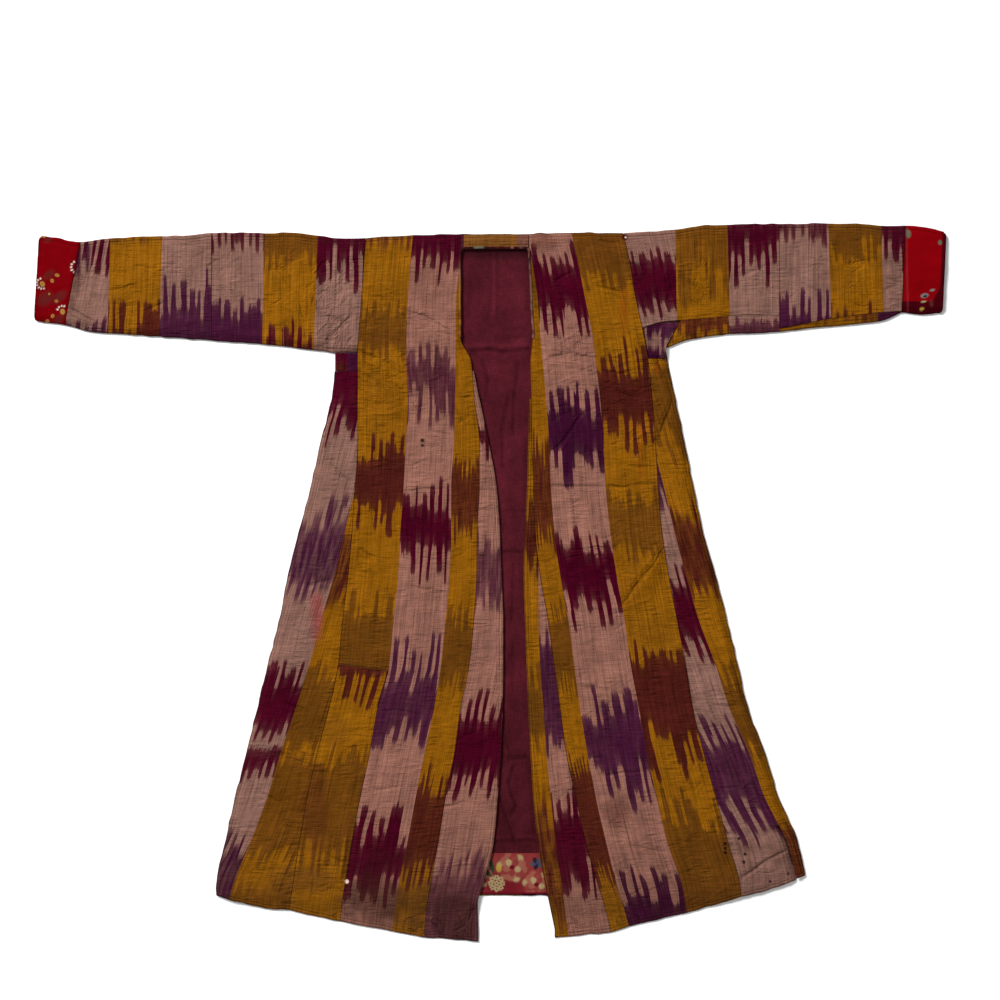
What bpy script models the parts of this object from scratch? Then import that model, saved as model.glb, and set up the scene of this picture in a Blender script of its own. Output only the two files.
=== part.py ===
"""Uzbek chapan robe, an open-fronted coat of striped ikat, laid out flat.

Metres, +Z up. The robe lies on the XY plane with its shoulders towards +Y and its
sleeves along X. The origin is under the middle of its bounding box. The tables are in
millimetres: x is measured from the middle of the robe, "drop" is measured down the
garment from the shoulder line.
"""
import math

import bpy
from mathutils import Vector

MM = 0.001

# ---- driving sizes -------------------------------------------------------------------
SHOULDER_Y = 632.0      # shoulder line above the origin, mm
WALL = 2.0              # one lined panel, mm
LINING_WALL = 1.0       # the lining or facing alone, mm
BINDING_WALL = 1.2      # the neck binding, mm
GAP = 0.3               # between pieces at a seam and between layers, mm
SEAM_INSET = 0.2        # each side of a seam line, mm
FRONT_BASE = WALL + 2.0 * GAP + LINING_WALL    # underside of a top layer, mm
EDGE_BASE = WALL + GAP                         # the same where it meets the back's edge
HEM_FALL = 14.0         # length over which an overhanging hem reaches the floor, mm
HEM_SAG = 5.0           # how far a side gore's hem bows below its two ends, mm
SHOULDER_ROUND = 8.0    # the shoulder fold is round over this drop, mm
TUCK = 15.0             # lining hidden beneath each front edge, mm
SHOWN_INSET = 2.0       # the lining stays flat this far inside the front edges, mm
BINDING_WIDTH = 4.4     # neck binding, mm
BINDING_PROUD = 1.0     # part of it that stands over the neck hole, mm
WAVE_HEIGHT = 1.2       # the cloth's slow waves, mm
WAVE_X = 83.0           # their scale across, mm
WAVE_Y = 117.0          # their scale along, mm

NECK_LEFT = -53.0       # side of the neck hole, mm
NECK_RIGHT = 70.0
NECK_DROP = 29.0        # back neck edge below the shoulder line, mm
NECK_CORNER = 7.0       # its rounded corners, mm
NECK_TUCK = 8.0         # lining hidden beneath the back neck's turn, mm
LINING_ROWS = 26        # rows of the lining's solid
CLEAR_OF_HEM = 1.0      # a front starts to fall this far past the back's hem, mm
LINING_END = 1121.0     # lower end of the lining in the opening, mm
FACING_END = 1195.0     # lower edge of the printed hem facing, mm

# ---- the body's lines ----------------------------------------------------------------
# A row for each section across the body. side = outer edge, seam = side gore's seam,
# rib = woven stripe line, slit = the edge of the loom width (neck, then front gore's
# seam), open = free front edge.
LINE_NAMES = ("side_l", "seam_l", "rib_a", "rib_b", "slit_l", "open_l",
              "open_r", "slit_r", "rib_c", "rib_d", "seam_r", "side_r")
SECTIONS = (
    # drop side_l seam_l rib_a rib_b slit_l open_l open_r slit_r rib_c rib_d seam_r side_r
    (0,    None, -224, -139, -58,  -53,  -53,  70,  70,  76, 147, 241, None),
    (60,   None, -228, -144, -59,  -53,  -53,  71,  71,  80, 160, 254, None),
    (120,  None, -232, -148, -61,  -53,  -53,  73,  73,  86, 172, 264, None),
    (190,  None, -237, -151, -62,  -53,  -53,  77,  77,  91, 186, 279, None),
    (232,  -278, -239, -151, -62,  -34,  -34,  73,  73,  95, 191, 286, 319),
    (300,  -287, -239, -148, -63,  -28,  -19,  71,  75, 101, 199, 293, 335),
    (380,  -307, -239, -152, -65,  -19,   -2,  69,  76, 107, 205, 299, 352),
    (460,  -325, -244, -156, -70,  -19,   12,  67,  79, 110, 209, 304, 368),
    (540,  -346, -249, -162, -70,  -23,   18,  63,  82, 116, 217, 311, 385),
    (620,  -366, -256, -166, -73,  -24,   21,  61,  91, 127, 229, 323, 408),
    (700,  -381, -266, -174, -80,  -29,   24,  63, 105, 141, 243, 338, 429),
    (780,  -402, -274, -182, -88,  -37,   24,  66, 116, 152, 254, 354, 448),
    (860,  -421, -291, -203, -101, -53,   23,  69, 127, 163, 269, 367, 467),
    (940,  -441, -312, -217, -118, -64,   20,  73, 138, 176, 283, 386, 497),
    (1020, -461, -330, -234, -134, -80,   14,  78, 155, 191, 301, 408, 522),
    (1100, -479, -344, -249, -149, -93,    7,  86, 173, 209, 320, 430, 556),
    (1180, -495, -356, -262, -165, -108, -13, 100, 196, 229, 347, 452, 571),
    (1212, -495, -361, -267, -171, -113, -22, 107, 206, 239, 353, 455, 571),
    (1260, -495, -366, -272, -177, -118, -21, 117, 218, 253, 360, 456, 571),
)

# Where each line starts, is joined across, and ends. join = pieced cloth on the left
# front, gore = join across the left side gore, tip = join near the right gore's corner.
END_COLUMNS = ("top", "join", "gore", "tip", "back_hem", "front_hem")
LINE_ENDS = {
    "side_l": (2,  780,  925, 1066, 1194, 1198),
    "seam_l": (9,  780,  962, 1066, 1196, 1225),
    "rib_a": (4,  792,  962, 1066, 1197, 1245),
    "rib_b": (2,  792,  962, 1066, 1198, 1263),
    "slit_l": (2,  786,  950, 1066, 1198, 1274),
    "open_l": (2,  786,  950, 1066, 1198, 1281),
    "open_r": (2,  786,  950, 1066, 1198, 1274),
    "slit_r": (1,  786,  950, 1070, 1198, 1265),
    "rib_c": (1,  786,  950, 1070, 1196, 1254),
    "rib_d": (-1,  786,  950, 1075, 1192, 1230),
    "seam_r": (0,  786,  950, 1090, 1184, 1200),
    "side_r": (0,  786,  950, 1066, 1157, 1161),
}

# ---- the sleeves' sections, from the armhole out ---------------------------------------
# Each runs from the fold at the top edge to the bottom edge; "front" is the drop at
# which its upper layer ends, which is above the bottom edge where an underarm piece
# shows. x in mm from the middle, drops from the shoulder line.
SLEEVE_COLUMNS = ("top_x", "top", "bottom_x", "bottom", "front")
LEFT_UPPER = (
    (-262, 10, -280, 217, 217),
    (-308,  5, -318, 212, 212),
    (-352,  0, -362, 207, 207),
    (-408,  0, -412, 201, 201),
    (-456,  0, -458, 198, 198),
    (-503,  0, -503, 195, 195),
)
LEFT_LOWER = (
    (-503,  0, -503, 195, 195),
    (-550,  4, -552, 191, 191),
    (-597,  6, -600, 188, 188),
    (-650,  8, -664, 183, 183),
    (-700, 11, -718, 179, 179),
    (-740, 16, -768, 167, 167),
)
LEFT_CUFF = (
    (-740, 16, -768, 167, 167),
    (-778, 10, -800, 163, 163),
    (-815,  4, -824, 159, 159),
)
RIGHT_UPPER = (
    (280, -2, 318, 209, 161),
    (331, -5, 358, 194, 157),
    (389, -14, 408, 186, 153),
    (416, -15, 434, 183, 150),
    (468, -16, 474, 182, 148),
    (523, -16, 523, 179, 150),
)
RIGHT_LOWER = (
    (523, -16, 523, 179, 173),
    (575, -17, 574, 173, 163),
    (620, -17, 618, 169, 155),
    (668, -17, 664, 165, 149),
    (710, -13, 706, 160, 144),
    (751, -13, 744, 144, 142),
)
RIGHT_CUFF = (
    (751, -13, 744, 144, 144),
    (788, -10, 782, 147, 147),
    (825, -2, 818, 145, 145),
)

# The underarm strip's first section, along the right gusset's outer edge.
UNDERARM_START = (422, 0, 320, 208, 161)

# Where each sleeve leaves the body's seam line: the ends of its two layers.
ARMHOLE_COLUMNS = ("bottom", "front")
ARMHOLES = {"seam_l": (217.0, 217.0), "seam_r": (228.0, 172.0)}

# ---- gussets ---------------------------------------------------------------------------
LEFT_GUSSET_X = -280.0
LEFT_GUSSET_DROPS = (217.4, 234.0, 249.6)
GUSSET_COLUMNS = ("seam_x", "seam", "out_x", "out", "bow")      # bow = rise of the middle
RIGHT_GUSSET = (
    (278.0, 173, 340.6, 162.6, 4.5),
    (282.0, 200, 330.0, 185.0, 0.0),
    (285.0, 217, 318.7, 207.5, 0.0),
    (286.4, 227, 317.5, 227.0, 0.0),
)
RIGHT_GORE_RISE = 18.0      # how far the right back gore rises outward, up to the sleeve

# ---- the largest folds in the top layer ------------------------------------------------
FOLD_COLUMNS = ("x1", "drop1", "x2", "drop2", "half_width", "height")
FOLDS = (
    (-235,  205, -140,  275, 22, 3.0),
    (-150,  140,  -65,  190, 22, 2.0),
    (-235,  310,  -75,  318, 24, 2.0),
    (-300,  500, -395, 1050, 30, 2.4),
    (-120,  520, -190, 1090, 30, 1.8),
    ( 110,  252,  280,  262, 24, 2.4),
    ( 150,  575,  250,  562, 24, 1.8),
    ( 313,  570,  236,  680, 24, 3.0),
    ( 350,  500,  515, 1050, 30, 2.4),
    ( 150,  700,  225, 1130, 30, 1.8),
    ( 452, 1165,  540, 1108, 24, 2.4),
    (-322,   70, -312,  190, 24, 2.8),
    (-610,   30, -602,  170, 28, 1.8),
    ( 338,   70,  408,  130, 24, 2.8),
    ( 600,   20,  588,  140, 28, 1.8),
)
LINING_FOLDS = (
    (-45, 225,   0, 202, 14, 1.6),
    (  0, 202,  30, 222, 14, 1.2),
    ( 30, 222,  70, 205, 14, 1.6),
    ( 12,  60,  14, 180, 10, 1.0),
    (-10, 800,  40, 880, 18, 1.4),
    ( 10, 1080, 50, 1090, 12, 1.2),
)

# ---- colours ---------------------------------------------------------------------------
PINK = (0.36, 0.20, 0.17)
MUSTARD = (0.38, 0.16, 0.01)
MAROON = (0.10, 0.015, 0.025)
CUFF_RED = (0.38, 0.004, 0.008)
FLORAL_RED = (0.42, 0.05, 0.04)
BINDING_PLUM = (0.14, 0.03, 0.05)
GUSSET_PURPLE = (0.12, 0.03, 0.12)
CLOTH_ROUGHNESS = 0.85


# ---- curves ----------------------------------------------------------------------------
def hermite(stations, values, at):
    """A smooth curve through the values, with no overshoot, flat past its ends."""
    if at <= stations[0]:
        return values[0]
    if at >= stations[-1]:
        return values[-1]
    last = len(stations) - 1
    steps = [stations[i + 1] - stations[i] for i in range(last)]
    slopes = [(values[i + 1] - values[i]) / steps[i] for i in range(last)]
    tangents = [slopes[0]]
    for i in range(1, last):
        product = slopes[i - 1] * slopes[i]
        mean = 2.0 * product / (slopes[i - 1] + slopes[i]) if product > 0.0 else 0.0
        tangents.append(mean)
    tangents.append(slopes[-1])
    i = max(k for k in range(last) if stations[k] <= at)
    t = (at - stations[i]) / steps[i]
    start = (1.0 + 2.0 * t) * (1.0 - t) ** 2 * values[i]
    leave = t * (1.0 - t) ** 2 * steps[i] * tangents[i]
    end = t * t * (3.0 - 2.0 * t) * values[i + 1]
    arrive = t * t * (t - 1.0) * steps[i] * tangents[i + 1]
    return start + leave + end + arrive


def line_x(name, drop):
    """The x of one of the body's lines at a drop, mm."""
    column = 1 + LINE_NAMES.index(name)
    rows = [(row[0], row[column]) for row in SECTIONS if row[column] is not None]
    return hermite([row[0] for row in rows], [row[1] for row in rows], drop)


def line_ends(name):
    """The named drops of a line."""
    return dict(zip(END_COLUMNS, LINE_ENDS[name]))


def mix(low, high, share):
    return low + (high - low) * share


def spread(low, high, shares):
    return [mix(low, high, share) for share in shares]


def smooth(t):
    t = min(1.0, max(0.0, t))
    return t * t * (3.0 - 2.0 * t)


# ---- relief ----------------------------------------------------------------------------
def ridge(x, drop, row):
    """Height of one soft fold at a point, mm, fading out towards its ends."""
    fold = dict(zip(FOLD_COLUMNS, row))
    run_x = fold["x2"] - fold["x1"]
    run_drop = fold["drop2"] - fold["drop1"]
    run = math.hypot(run_x, run_drop)
    from_x = x - fold["x1"]
    from_drop = drop - fold["drop1"]
    along = (from_x * run_x + from_drop * run_drop) / run
    across = (from_x * run_drop - from_drop * run_x) / run
    beyond = max(0.0, -along, along - run)
    distance = math.hypot(across, beyond)
    return fold["height"] * math.exp(-(distance / fold["half_width"]) ** 2)


def waves(x, drop):
    """Slow waves of a cloth that lies by itself, mm, never below zero."""
    first = math.sin(x / WAVE_X + 0.9) * math.cos(drop / WAVE_Y + 0.3)
    second = math.sin((x + drop) / (WAVE_X + WAVE_Y) + 2.1)
    return WAVE_HEIGHT * (0.5 + 0.3 * first + 0.2 * second)


def relief(x, drop):
    """What the top layer's folds and waves add to its height, mm."""
    return waves(x, drop) + max(ridge(x, drop, row) for row in FOLDS)


def lining_relief(x, drop):
    return max(ridge(x, drop, row) for row in LINING_FOLDS)


# ---- solids ----------------------------------------------------------------------------
def place(x, drop, height):
    """A point of the robe, from millimetres to the world's metres."""
    return Vector((x * MM, (SHOULDER_Y - drop) * MM, height * MM))


def wall_at(x, drop, height, wall=WALL):
    """The outer and inner points of a wall that lies with its underside at a height."""
    return place(x, drop, height + wall), place(x, drop, height)


def material(name, colour):
    made = bpy.data.materials.new(name)
    made.use_nodes = True
    shader = made.node_tree.nodes["Principled BSDF"]
    shader.inputs["Base Color"].default_value = (*colour, 1.0)
    shader.inputs["Roughness"].default_value = CLOTH_ROUGHNESS
    shader.inputs["Metallic"].default_value = 0.0
    return made


def signed_volume(mesh):
    """Positive when the faces point out."""
    total = 0.0
    for face in mesh.polygons:
        corners = [mesh.vertices[k].co for k in face.vertices]
        for k in range(1, len(corners) - 1):
            total += corners[0].dot(corners[k].cross(corners[k + 1]))
    return total / 6.0


def cloth_solid(name, grid, colour, left_out=()):
    """A closed wall of cloth, from a grid of its outer and inner points.

    left_out holds the (row, column) of cells that belong to another piece.
    """
    rows = len(grid) - 1
    columns = len(grid[0]) - 1
    cells = {(i, j) for i in range(rows) for j in range(columns)} - set(left_out)
    used = sorted({(i + a, j + b) for i, j in cells for a in (0, 1) for b in (0, 1)})
    index = {corner: k for k, corner in enumerate(used)}
    count = len(used)
    points = [grid[i][j][0] for i, j in used] + [grid[i][j][1] for i, j in used]
    faces = []
    for i, j in sorted(cells):
        corners = ((i, j), (i + 1, j), (i + 1, j + 1), (i, j + 1))
        beside = ((i, j - 1), (i + 1, j), (i, j + 1), (i - 1, j))
        top = [index[corner] for corner in corners]
        faces.append(top)
        faces.append([k + count for k in reversed(top)])
        for side in range(4):
            if beside[side] not in cells:
                start = top[side]
                end = top[(side + 1) % 4]
                faces.append([end, start, start + count, end + count])
    mesh = bpy.data.meshes.new(name)
    mesh.from_pydata(points, [], faces)
    mesh.update()
    if signed_volume(mesh) < 0.0:
        mesh.flip_normals()
    mesh.shade_smooth()
    mesh.set_sharp_from_angle(angle=math.radians(40.0))
    mesh.materials.append(material(name, colour))
    made = bpy.data.objects.new(name, mesh)
    bpy.context.scene.collection.objects.link(made)
    return made


# ---- rows of the body --------------------------------------------------------------------
# Drops of the rows below the shoulder; a word takes its drop from each line's own ends.
ROW_DROPS = (30, 70, 110, 150, 190, 228, 250, 300, 350, 400, 450, 500, 550, 600, 650,
             700, 745, "join", 835, 880, "gore", 995, 1035, "tip", 1120, 1160)
ROWS_ABOVE = 2          # the shoulder's fold, above these
GUSSET_LEFT_ROW = ROWS_ABOVE + ROW_DROPS.index(250)
GUSSET_RIGHT_ROW = ROWS_ABOVE + ROW_DROPS.index(228)
NECK_ROWS = range(ROWS_ABOVE + ROW_DROPS.index(70), GUSSET_RIGHT_ROW)
WEDGE_LEFT_ROW = ROWS_ABOVE + ROW_DROPS.index(250)
WEDGE_RIGHT_ROW = ROWS_ABOVE + ROW_DROPS.index(300)
JOIN_ROW = ROWS_ABOVE + ROW_DROPS.index("join")
GORE_ROW = ROWS_ABOVE + ROW_DROPS.index("gore")
TIP_ROW = ROWS_ABOVE + ROW_DROPS.index("tip")
CLEAR_ROW = ROWS_ABOVE + len(ROW_DROPS)        # just past the back's hem
HEM_ROW = CLEAR_ROW + 2


def top_rows(line):
    """Drops at which the top layer's rows cross a line, the same for both its pieces."""
    ends = line_ends(line)
    middle = [ends.get(drop, drop) for drop in ROW_DROPS]
    clear = ends["back_hem"] + CLEAR_OF_HEM
    overhang = ends["front_hem"] - clear
    if overhang < HEM_FALL:
        middle[-2:] = [clear - 50.0, clear - 20.0]
    fallen = clear + min(HEM_FALL, 0.5 * overhang)
    return [ends["top"], ends["top"] + SHOULDER_ROUND] + middle + [clear, fallen, ends["front_hem"]]


def back_rows(line):
    """The same for the back layer, which ends at the back's hem."""
    return top_rows(line)[:CLEAR_ROW] + [line_ends(line)["back_hem"]]


def crossings(lines, shares):
    """The columns of a panel, each as a pair of lines and a share between them."""
    pairs = list(zip(lines[:-1], lines[1:]))
    columns = [(low, high, share) for low, high in pairs for share in shares]
    return columns + [(*pairs[-1], 1.0)]


def crossing(column, i, rows_of):
    """Where a column crosses a row: x and drop, mm."""
    low, high, share = column
    low_drop = rows_of(low)[i]
    high_drop = rows_of(high)[i]
    x = mix(line_x(low, low_drop), line_x(high, high_drop), share)
    return x, mix(low_drop, high_drop, share)


def top_height(x, drop, clear, edge=1.0):
    """Underside of the top layer, mm. edge is 0 at an outer edge and 1 inside it.

    Past clear, which is the back's hem, it falls to the floor.
    """
    resting = mix(EDGE_BASE, FRONT_BASE + relief(x, drop), edge)
    return resting * (1.0 - smooth((drop - clear) / HEM_FALL))


def top_panel(name, lines, shares, colour, rows, insets=(SEAM_INSET, SEAM_INSET),
              end_insets=(0.0, 0.0), outer=(), sag=0.0, left_out=()):
    """A piece of the top layer between lines of the body, from one row to another.

    outer holds the columns that are on the robe's outline, 0 for the first or -1.
    """
    columns = crossings(lines, shares)
    last = len(columns) - 1
    grid = []
    for i in range(rows[0], rows[1] + 1):
        row = []
        for j, column in enumerate(columns):
            x, drop = crossing(column, i, top_rows)
            _, clear = crossing(column, CLEAR_ROW, top_rows)
            on_outline = i == 0 or (j == 0 and 0 in outer) or (j == last and -1 in outer)
            height = top_height(x, drop, clear, 0.0 if on_outline else 1.0)
            x += insets[0] * (j == 0) - insets[1] * (j == last)
            drop += end_insets[0] * (i == rows[0]) - end_insets[1] * (i == rows[1])
            drop += 4.0 * sag * column[2] * (1.0 - column[2]) * (i == HEM_ROW)
            row.append(wall_at(x, drop, height))
        grid.append(row)
    cloth_solid(name, grid, colour, left_out)


def back_panel(name, lines, shares, colour, first_row, rise=0.0):
    """A piece of the back layer, flat on the floor. Its first row rises outward by rise."""
    columns = crossings(lines, shares)
    last = len(columns) - 1
    grid = []
    for i in range(first_row, CLEAR_ROW + 1):
        row = []
        for j, column in enumerate(columns):
            x, drop = crossing(column, i, back_rows)
            x += SEAM_INSET * (j == 0) - SEAM_INSET * (j == last)
            if rise and i == first_row:
                drop += 2.0 * GAP - rise * column[2]
            row.append(wall_at(x, drop, 0.0))
        grid.append(row)
    cloth_solid(name, grid, colour)


# ---- body --------------------------------------------------------------------------------
HALVES = (0.0, 0.5)
LEFT_GORE_SHARES = (0.0, 0.12, 0.4, 0.7)
RIGHT_GORE_SHARES = (0.0, 0.3, 0.6, 0.85)


def make_back():
    lines = ("seam_l", "rib_b", "rib_c", "seam_r")
    back_panel("back_panel", lines, HALVES, PINK, 0)
    back_panel("back_gore_left", ("side_l", "seam_l"), HALVES, MUSTARD, GUSSET_LEFT_ROW)
    back_panel("back_gore_right", ("seam_r", "side_r"), HALVES, MUSTARD, GUSSET_RIGHT_ROW,
               rise=RIGHT_GORE_RISE)


def make_fronts():
    """The two fronts and the cloth pieced onto the left one's outer stripe."""
    pieced = [(i, j) for i in range(JOIN_ROW, HEM_ROW) for j in range(len(HALVES))]
    left = ("seam_l", "rib_a", "rib_b", "slit_l")
    right = ("slit_r", "rib_c", "rib_d", "seam_r")
    top_panel("front_left", left, HALVES, PINK, (0, HEM_ROW), left_out=pieced)
    top_panel("front_left_piece", left[:2], HALVES, MUSTARD, (JOIN_ROW, HEM_ROW),
              insets=(SEAM_INSET, 2.0 * SEAM_INSET), end_insets=(2.0 * SEAM_INSET, 0.0))
    top_panel("front_right", right, HALVES, PINK, (0, HEM_ROW))


def make_front_gores():
    """The narrow wedges between the slit loom width and the free front edges."""
    top_panel("front_gore_left", ("slit_l", "open_l"), HALVES, PINK,
              (WEDGE_LEFT_ROW, HEM_ROW), insets=(SEAM_INSET, 0.0))
    top_panel("front_gore_right", ("open_r", "slit_r"), HALVES, MUSTARD,
              (WEDGE_RIGHT_ROW, HEM_ROW), insets=(0.0, SEAM_INSET))


def make_side_gores():
    """The flared sides and the cloth joined onto their lower ends."""
    left = ("side_l", "seam_l")
    right = ("seam_r", "side_r")
    top_panel("side_gore_left", left, LEFT_GORE_SHARES, PINK, (GUSSET_LEFT_ROW, GORE_ROW),
              insets=(0.0, SEAM_INSET), end_insets=(SEAM_INSET, SEAM_INSET), outer=(0,))
    top_panel("side_gore_left_piece", left, LEFT_GORE_SHARES, MUSTARD, (GORE_ROW, HEM_ROW),
              insets=(0.0, SEAM_INSET), end_insets=(SEAM_INSET, 0.0), outer=(0,), sag=HEM_SAG)
    outer_column = len(RIGHT_GORE_SHARES) - 1
    corner = [(i - GUSSET_RIGHT_ROW, outer_column) for i in range(TIP_ROW, HEM_ROW)]
    top_panel("side_gore_right", right, RIGHT_GORE_SHARES, MUSTARD,
              (GUSSET_RIGHT_ROW, HEM_ROW), insets=(SEAM_INSET, 0.0),
              end_insets=(SEAM_INSET, 0.0), outer=(-1,), sag=HEM_SAG, left_out=corner)
    top_panel("side_gore_right_piece", right, RIGHT_GORE_SHARES[-1:], MUSTARD,
              (TIP_ROW, HEM_ROW), insets=(2.0 * SEAM_INSET, 0.0),
              end_insets=(2.0 * SEAM_INSET, 0.0), outer=(-1,), sag=HEM_SAG)


# ---- neck --------------------------------------------------------------------------------
def make_neck_turn():
    """The back's top edge, turned over the shoulder line above the neck hole."""
    left = NECK_LEFT + 2.0 * SEAM_INSET
    right = NECK_RIGHT - 2.0 * SEAM_INSET
    top = line_ends("open_l")["top"]
    grid = []
    for i, drop in enumerate((top, top + SHOULDER_ROUND, NECK_DROP)):
        row = []
        for x in spread(left, right, (0.0, 0.25, 0.5, 0.75, 1.0)):
            row.append(wall_at(x, drop, top_height(x, drop, FACING_END, float(i > 0))))
        grid.append(row)
    cloth_solid("back_neck_turn", grid, PINK)


def neck_path():
    """Neck edge from the left front up, across the back neck and down the right front.

    Each point comes with the direction that leads from the hole onto the cloth.
    """
    left = [top_rows("slit_l")[i] for i in NECK_ROWS]
    right = [top_rows("slit_r")[i] for i in NECK_ROWS]
    path = [(line_x("slit_l", drop), drop, -1.0, 0.0) for drop in reversed(left)]
    corners = ((NECK_LEFT + NECK_CORNER, 180.0), (NECK_RIGHT - NECK_CORNER, 90.0))
    for centre_x, start in corners:
        for step in range(4):
            angle = math.radians(start - 30.0 * step)
            out_x = math.cos(angle)
            out_drop = -math.sin(angle)
            x = centre_x + NECK_CORNER * out_x
            path.append((x, NECK_DROP + NECK_CORNER * (1.0 + out_drop), out_x, out_drop))
    return path + [(line_x("slit_r", drop), drop, 1.0, 0.0) for drop in right]


def make_neck_binding():
    """A narrow strip bound over the neck edge, lying on the cloth round the hole."""
    grid = []
    for x, drop, out_x, out_drop in neck_path():
        height = top_height(x, drop, FACING_END) + WALL + 2.0 * GAP
        row = []
        for reach in (-BINDING_PROUD, BINDING_WIDTH - BINDING_PROUD):
            across = (x + out_x * reach, drop + out_drop * reach)
            row.append(wall_at(*across, height, BINDING_WALL))
        grid.append(row)
    cloth_solid("neck_binding", grid, BINDING_PLUM)


# ---- what shows in the opening -------------------------------------------------------------
def opening_sheet(name, drops, colour, folded):
    """A thin sheet on the back, in the opening and tucked under both fronts."""
    grid = []
    for drop in drops:
        left = line_x("open_l", drop)
        right = line_x("open_r", drop)
        seen = spread(left + SHOWN_INSET, right - SHOWN_INSET, (0.0, 0.25, 0.5, 0.75, 1.0))
        across = [left - TUCK] + seen + [right + TUCK]
        row = []
        for j, x in enumerate(across):
            inside = folded and 1 < j < len(across) - 2
            raised = lining_relief(x, drop) if inside else 0.0
            row.append(wall_at(x, drop, EDGE_BASE + raised, LINING_WALL))
        grid.append(row)
    cloth_solid(name, grid, colour)


def make_opening():
    start = NECK_DROP - NECK_TUCK
    steps = [k / LINING_ROWS for k in range(LINING_ROWS + 1)]
    opening_sheet("lining_back", spread(start, LINING_END, steps), MAROON, True)
    facing = spread(LINING_END + GAP, FACING_END, (0.0, 0.5, 1.0))
    opening_sheet("hem_facing", facing, FLORAL_RED, False)


# ---- sleeves and gussets --------------------------------------------------------------------
LAYER_SHARES = (0.0, 0.05, 0.2, 0.4, 0.6, 0.8, 0.95)
FOLD_ANGLES = (90.0, 45.0, 0.0, -45.0, -90.0)
FOLD_RADIUS = 0.5 * (FRONT_BASE + WALL)
FOLD_HOLLOW = 0.5 * (FRONT_BASE - WALL)


def round_fold(at, edge):
    """Points round a fold from the upper layer to the lower, the fold being at edge.

    at(distance) gives the x and drop of a point that far along the section.
    """
    points = []
    for angle in FOLD_ANGLES:
        reach = math.cos(math.radians(angle))
        rise = math.sin(math.radians(angle))
        outer = place(*at(edge + FOLD_RADIUS * (1.0 - reach)), FOLD_RADIUS * (1.0 + rise))
        middle = WALL + FOLD_HOLLOW
        hollow = at(edge + FOLD_RADIUS - FOLD_HOLLOW * reach)
        points.append((outer, place(*hollow, middle + FOLD_HOLLOW * rise)))
    return points


def sleeve_section(at, top, bottom, front):
    """One section round a sleeve: upper layer, fold along the top, lower layer."""
    sewn = front > bottom - 1.0
    end = top + FOLD_RADIUS
    section = []
    for share in LAYER_SHARES:
        x, drop = at(mix(front, end, share))
        on_outline = sewn and share == 0.0
        flattening = min(1.0, 5.0 * (1.0 - share))
        raised = FRONT_BASE + relief(x, drop) * flattening
        section.append(wall_at(x, drop, EDGE_BASE if on_outline else raised))
    section += round_fold(at, top)
    for share in reversed(LAYER_SHARES[:-1]):
        x, drop = at(mix(bottom, end, share))
        section.append((place(x, drop, 0.0), place(x, drop, WALL)))
    return section


def straight_section(row, inset):
    """A section between the two ends that a table row gives."""
    ends = dict(zip(SLEEVE_COLUMNS, row))

    def at(drop):
        share = (drop - ends["top"]) / (ends["bottom"] - ends["top"])
        return mix(ends["top_x"], ends["bottom_x"], share) + inset, drop

    return sleeve_section(at, ends["top"], ends["bottom"], ends["front"])


def armhole_section(line, inset):
    """A section along the body's own seam line."""
    ends = dict(zip(ARMHOLE_COLUMNS, ARMHOLES[line]))

    def at(drop):
        return line_x(line, drop) + inset, drop

    return sleeve_section(at, line_ends(line)["top"], ends["bottom"], ends["front"])


def make_sleeve(name, rows, colour, armhole=None, cuff_end=False):
    """A flattened tube: one cloth folded along the top and sewn along the bottom."""
    side = math.copysign(1.0, rows[-1][0])
    grid = []
    if armhole:
        grid.append(armhole_section(armhole, side * 2.0 * SEAM_INSET))
    for k, row in enumerate(rows):
        inset = side * SEAM_INSET * (k == 0 and not armhole)
        inset -= side * SEAM_INSET * (k == len(rows) - 1 and not cuff_end)
        grid.append(straight_section(row, inset))
    cloth_solid(name, grid, colour)


def make_sleeves():
    make_sleeve("sleeve_left_upper", LEFT_UPPER, PINK, armhole="seam_l")
    make_sleeve("sleeve_left_lower", LEFT_LOWER, MUSTARD)
    make_sleeve("cuff_left", LEFT_CUFF, CUFF_RED, cuff_end=True)
    make_sleeve("sleeve_right_upper", RIGHT_UPPER, MUSTARD, armhole="seam_r")
    make_sleeve("sleeve_right_lower", RIGHT_LOWER, PINK)
    make_sleeve("cuff_right", RIGHT_CUFF, CUFF_RED, cuff_end=True)


def make_underarm(name, rows):
    """A strip between the right sleeve's front seam and its bottom edge."""
    grid = []
    for k, row in enumerate(rows):
        ends = dict(zip(SLEEVE_COLUMNS, row))
        inset = SEAM_INSET * ((k == 0) - (k == len(rows) - 1))
        line = []
        for share in (0.0, 0.5, 1.0):
            drop = mix(ends["front"] + GAP, ends["bottom"], share)
            down = (drop - ends["top"]) / (ends["bottom"] - ends["top"])
            x = mix(ends["top_x"], ends["bottom_x"], down) + inset
            edge = 1.0 - share ** 3
            line.append(wall_at(x, drop, top_height(x, drop, FACING_END, edge)))
        grid.append(line)
    cloth_solid(name, grid, MUSTARD)


def make_underarms():
    make_underarm("sleeve_right_underarm", (UNDERARM_START, *RIGHT_UPPER[1:]))
    make_underarm("sleeve_right_underarm_end", RIGHT_LOWER)


def make_gusset_left():
    """A small square folded double, its fold on the robe's outline."""
    grid = []
    for drop in LEFT_GUSSET_DROPS:
        seam_x = line_x("seam_l", drop) - 2.0 * SEAM_INSET

        def at(x, drop=drop):
            return x, drop

        row = [wall_at(seam_x, drop, FRONT_BASE)]
        row += round_fold(at, LEFT_GUSSET_X)
        row.append((place(seam_x, drop, 0.0), place(seam_x, drop, WALL)))
        grid.append(row)
    cloth_solid("gusset_left", grid, GUSSET_PURPLE)


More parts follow.
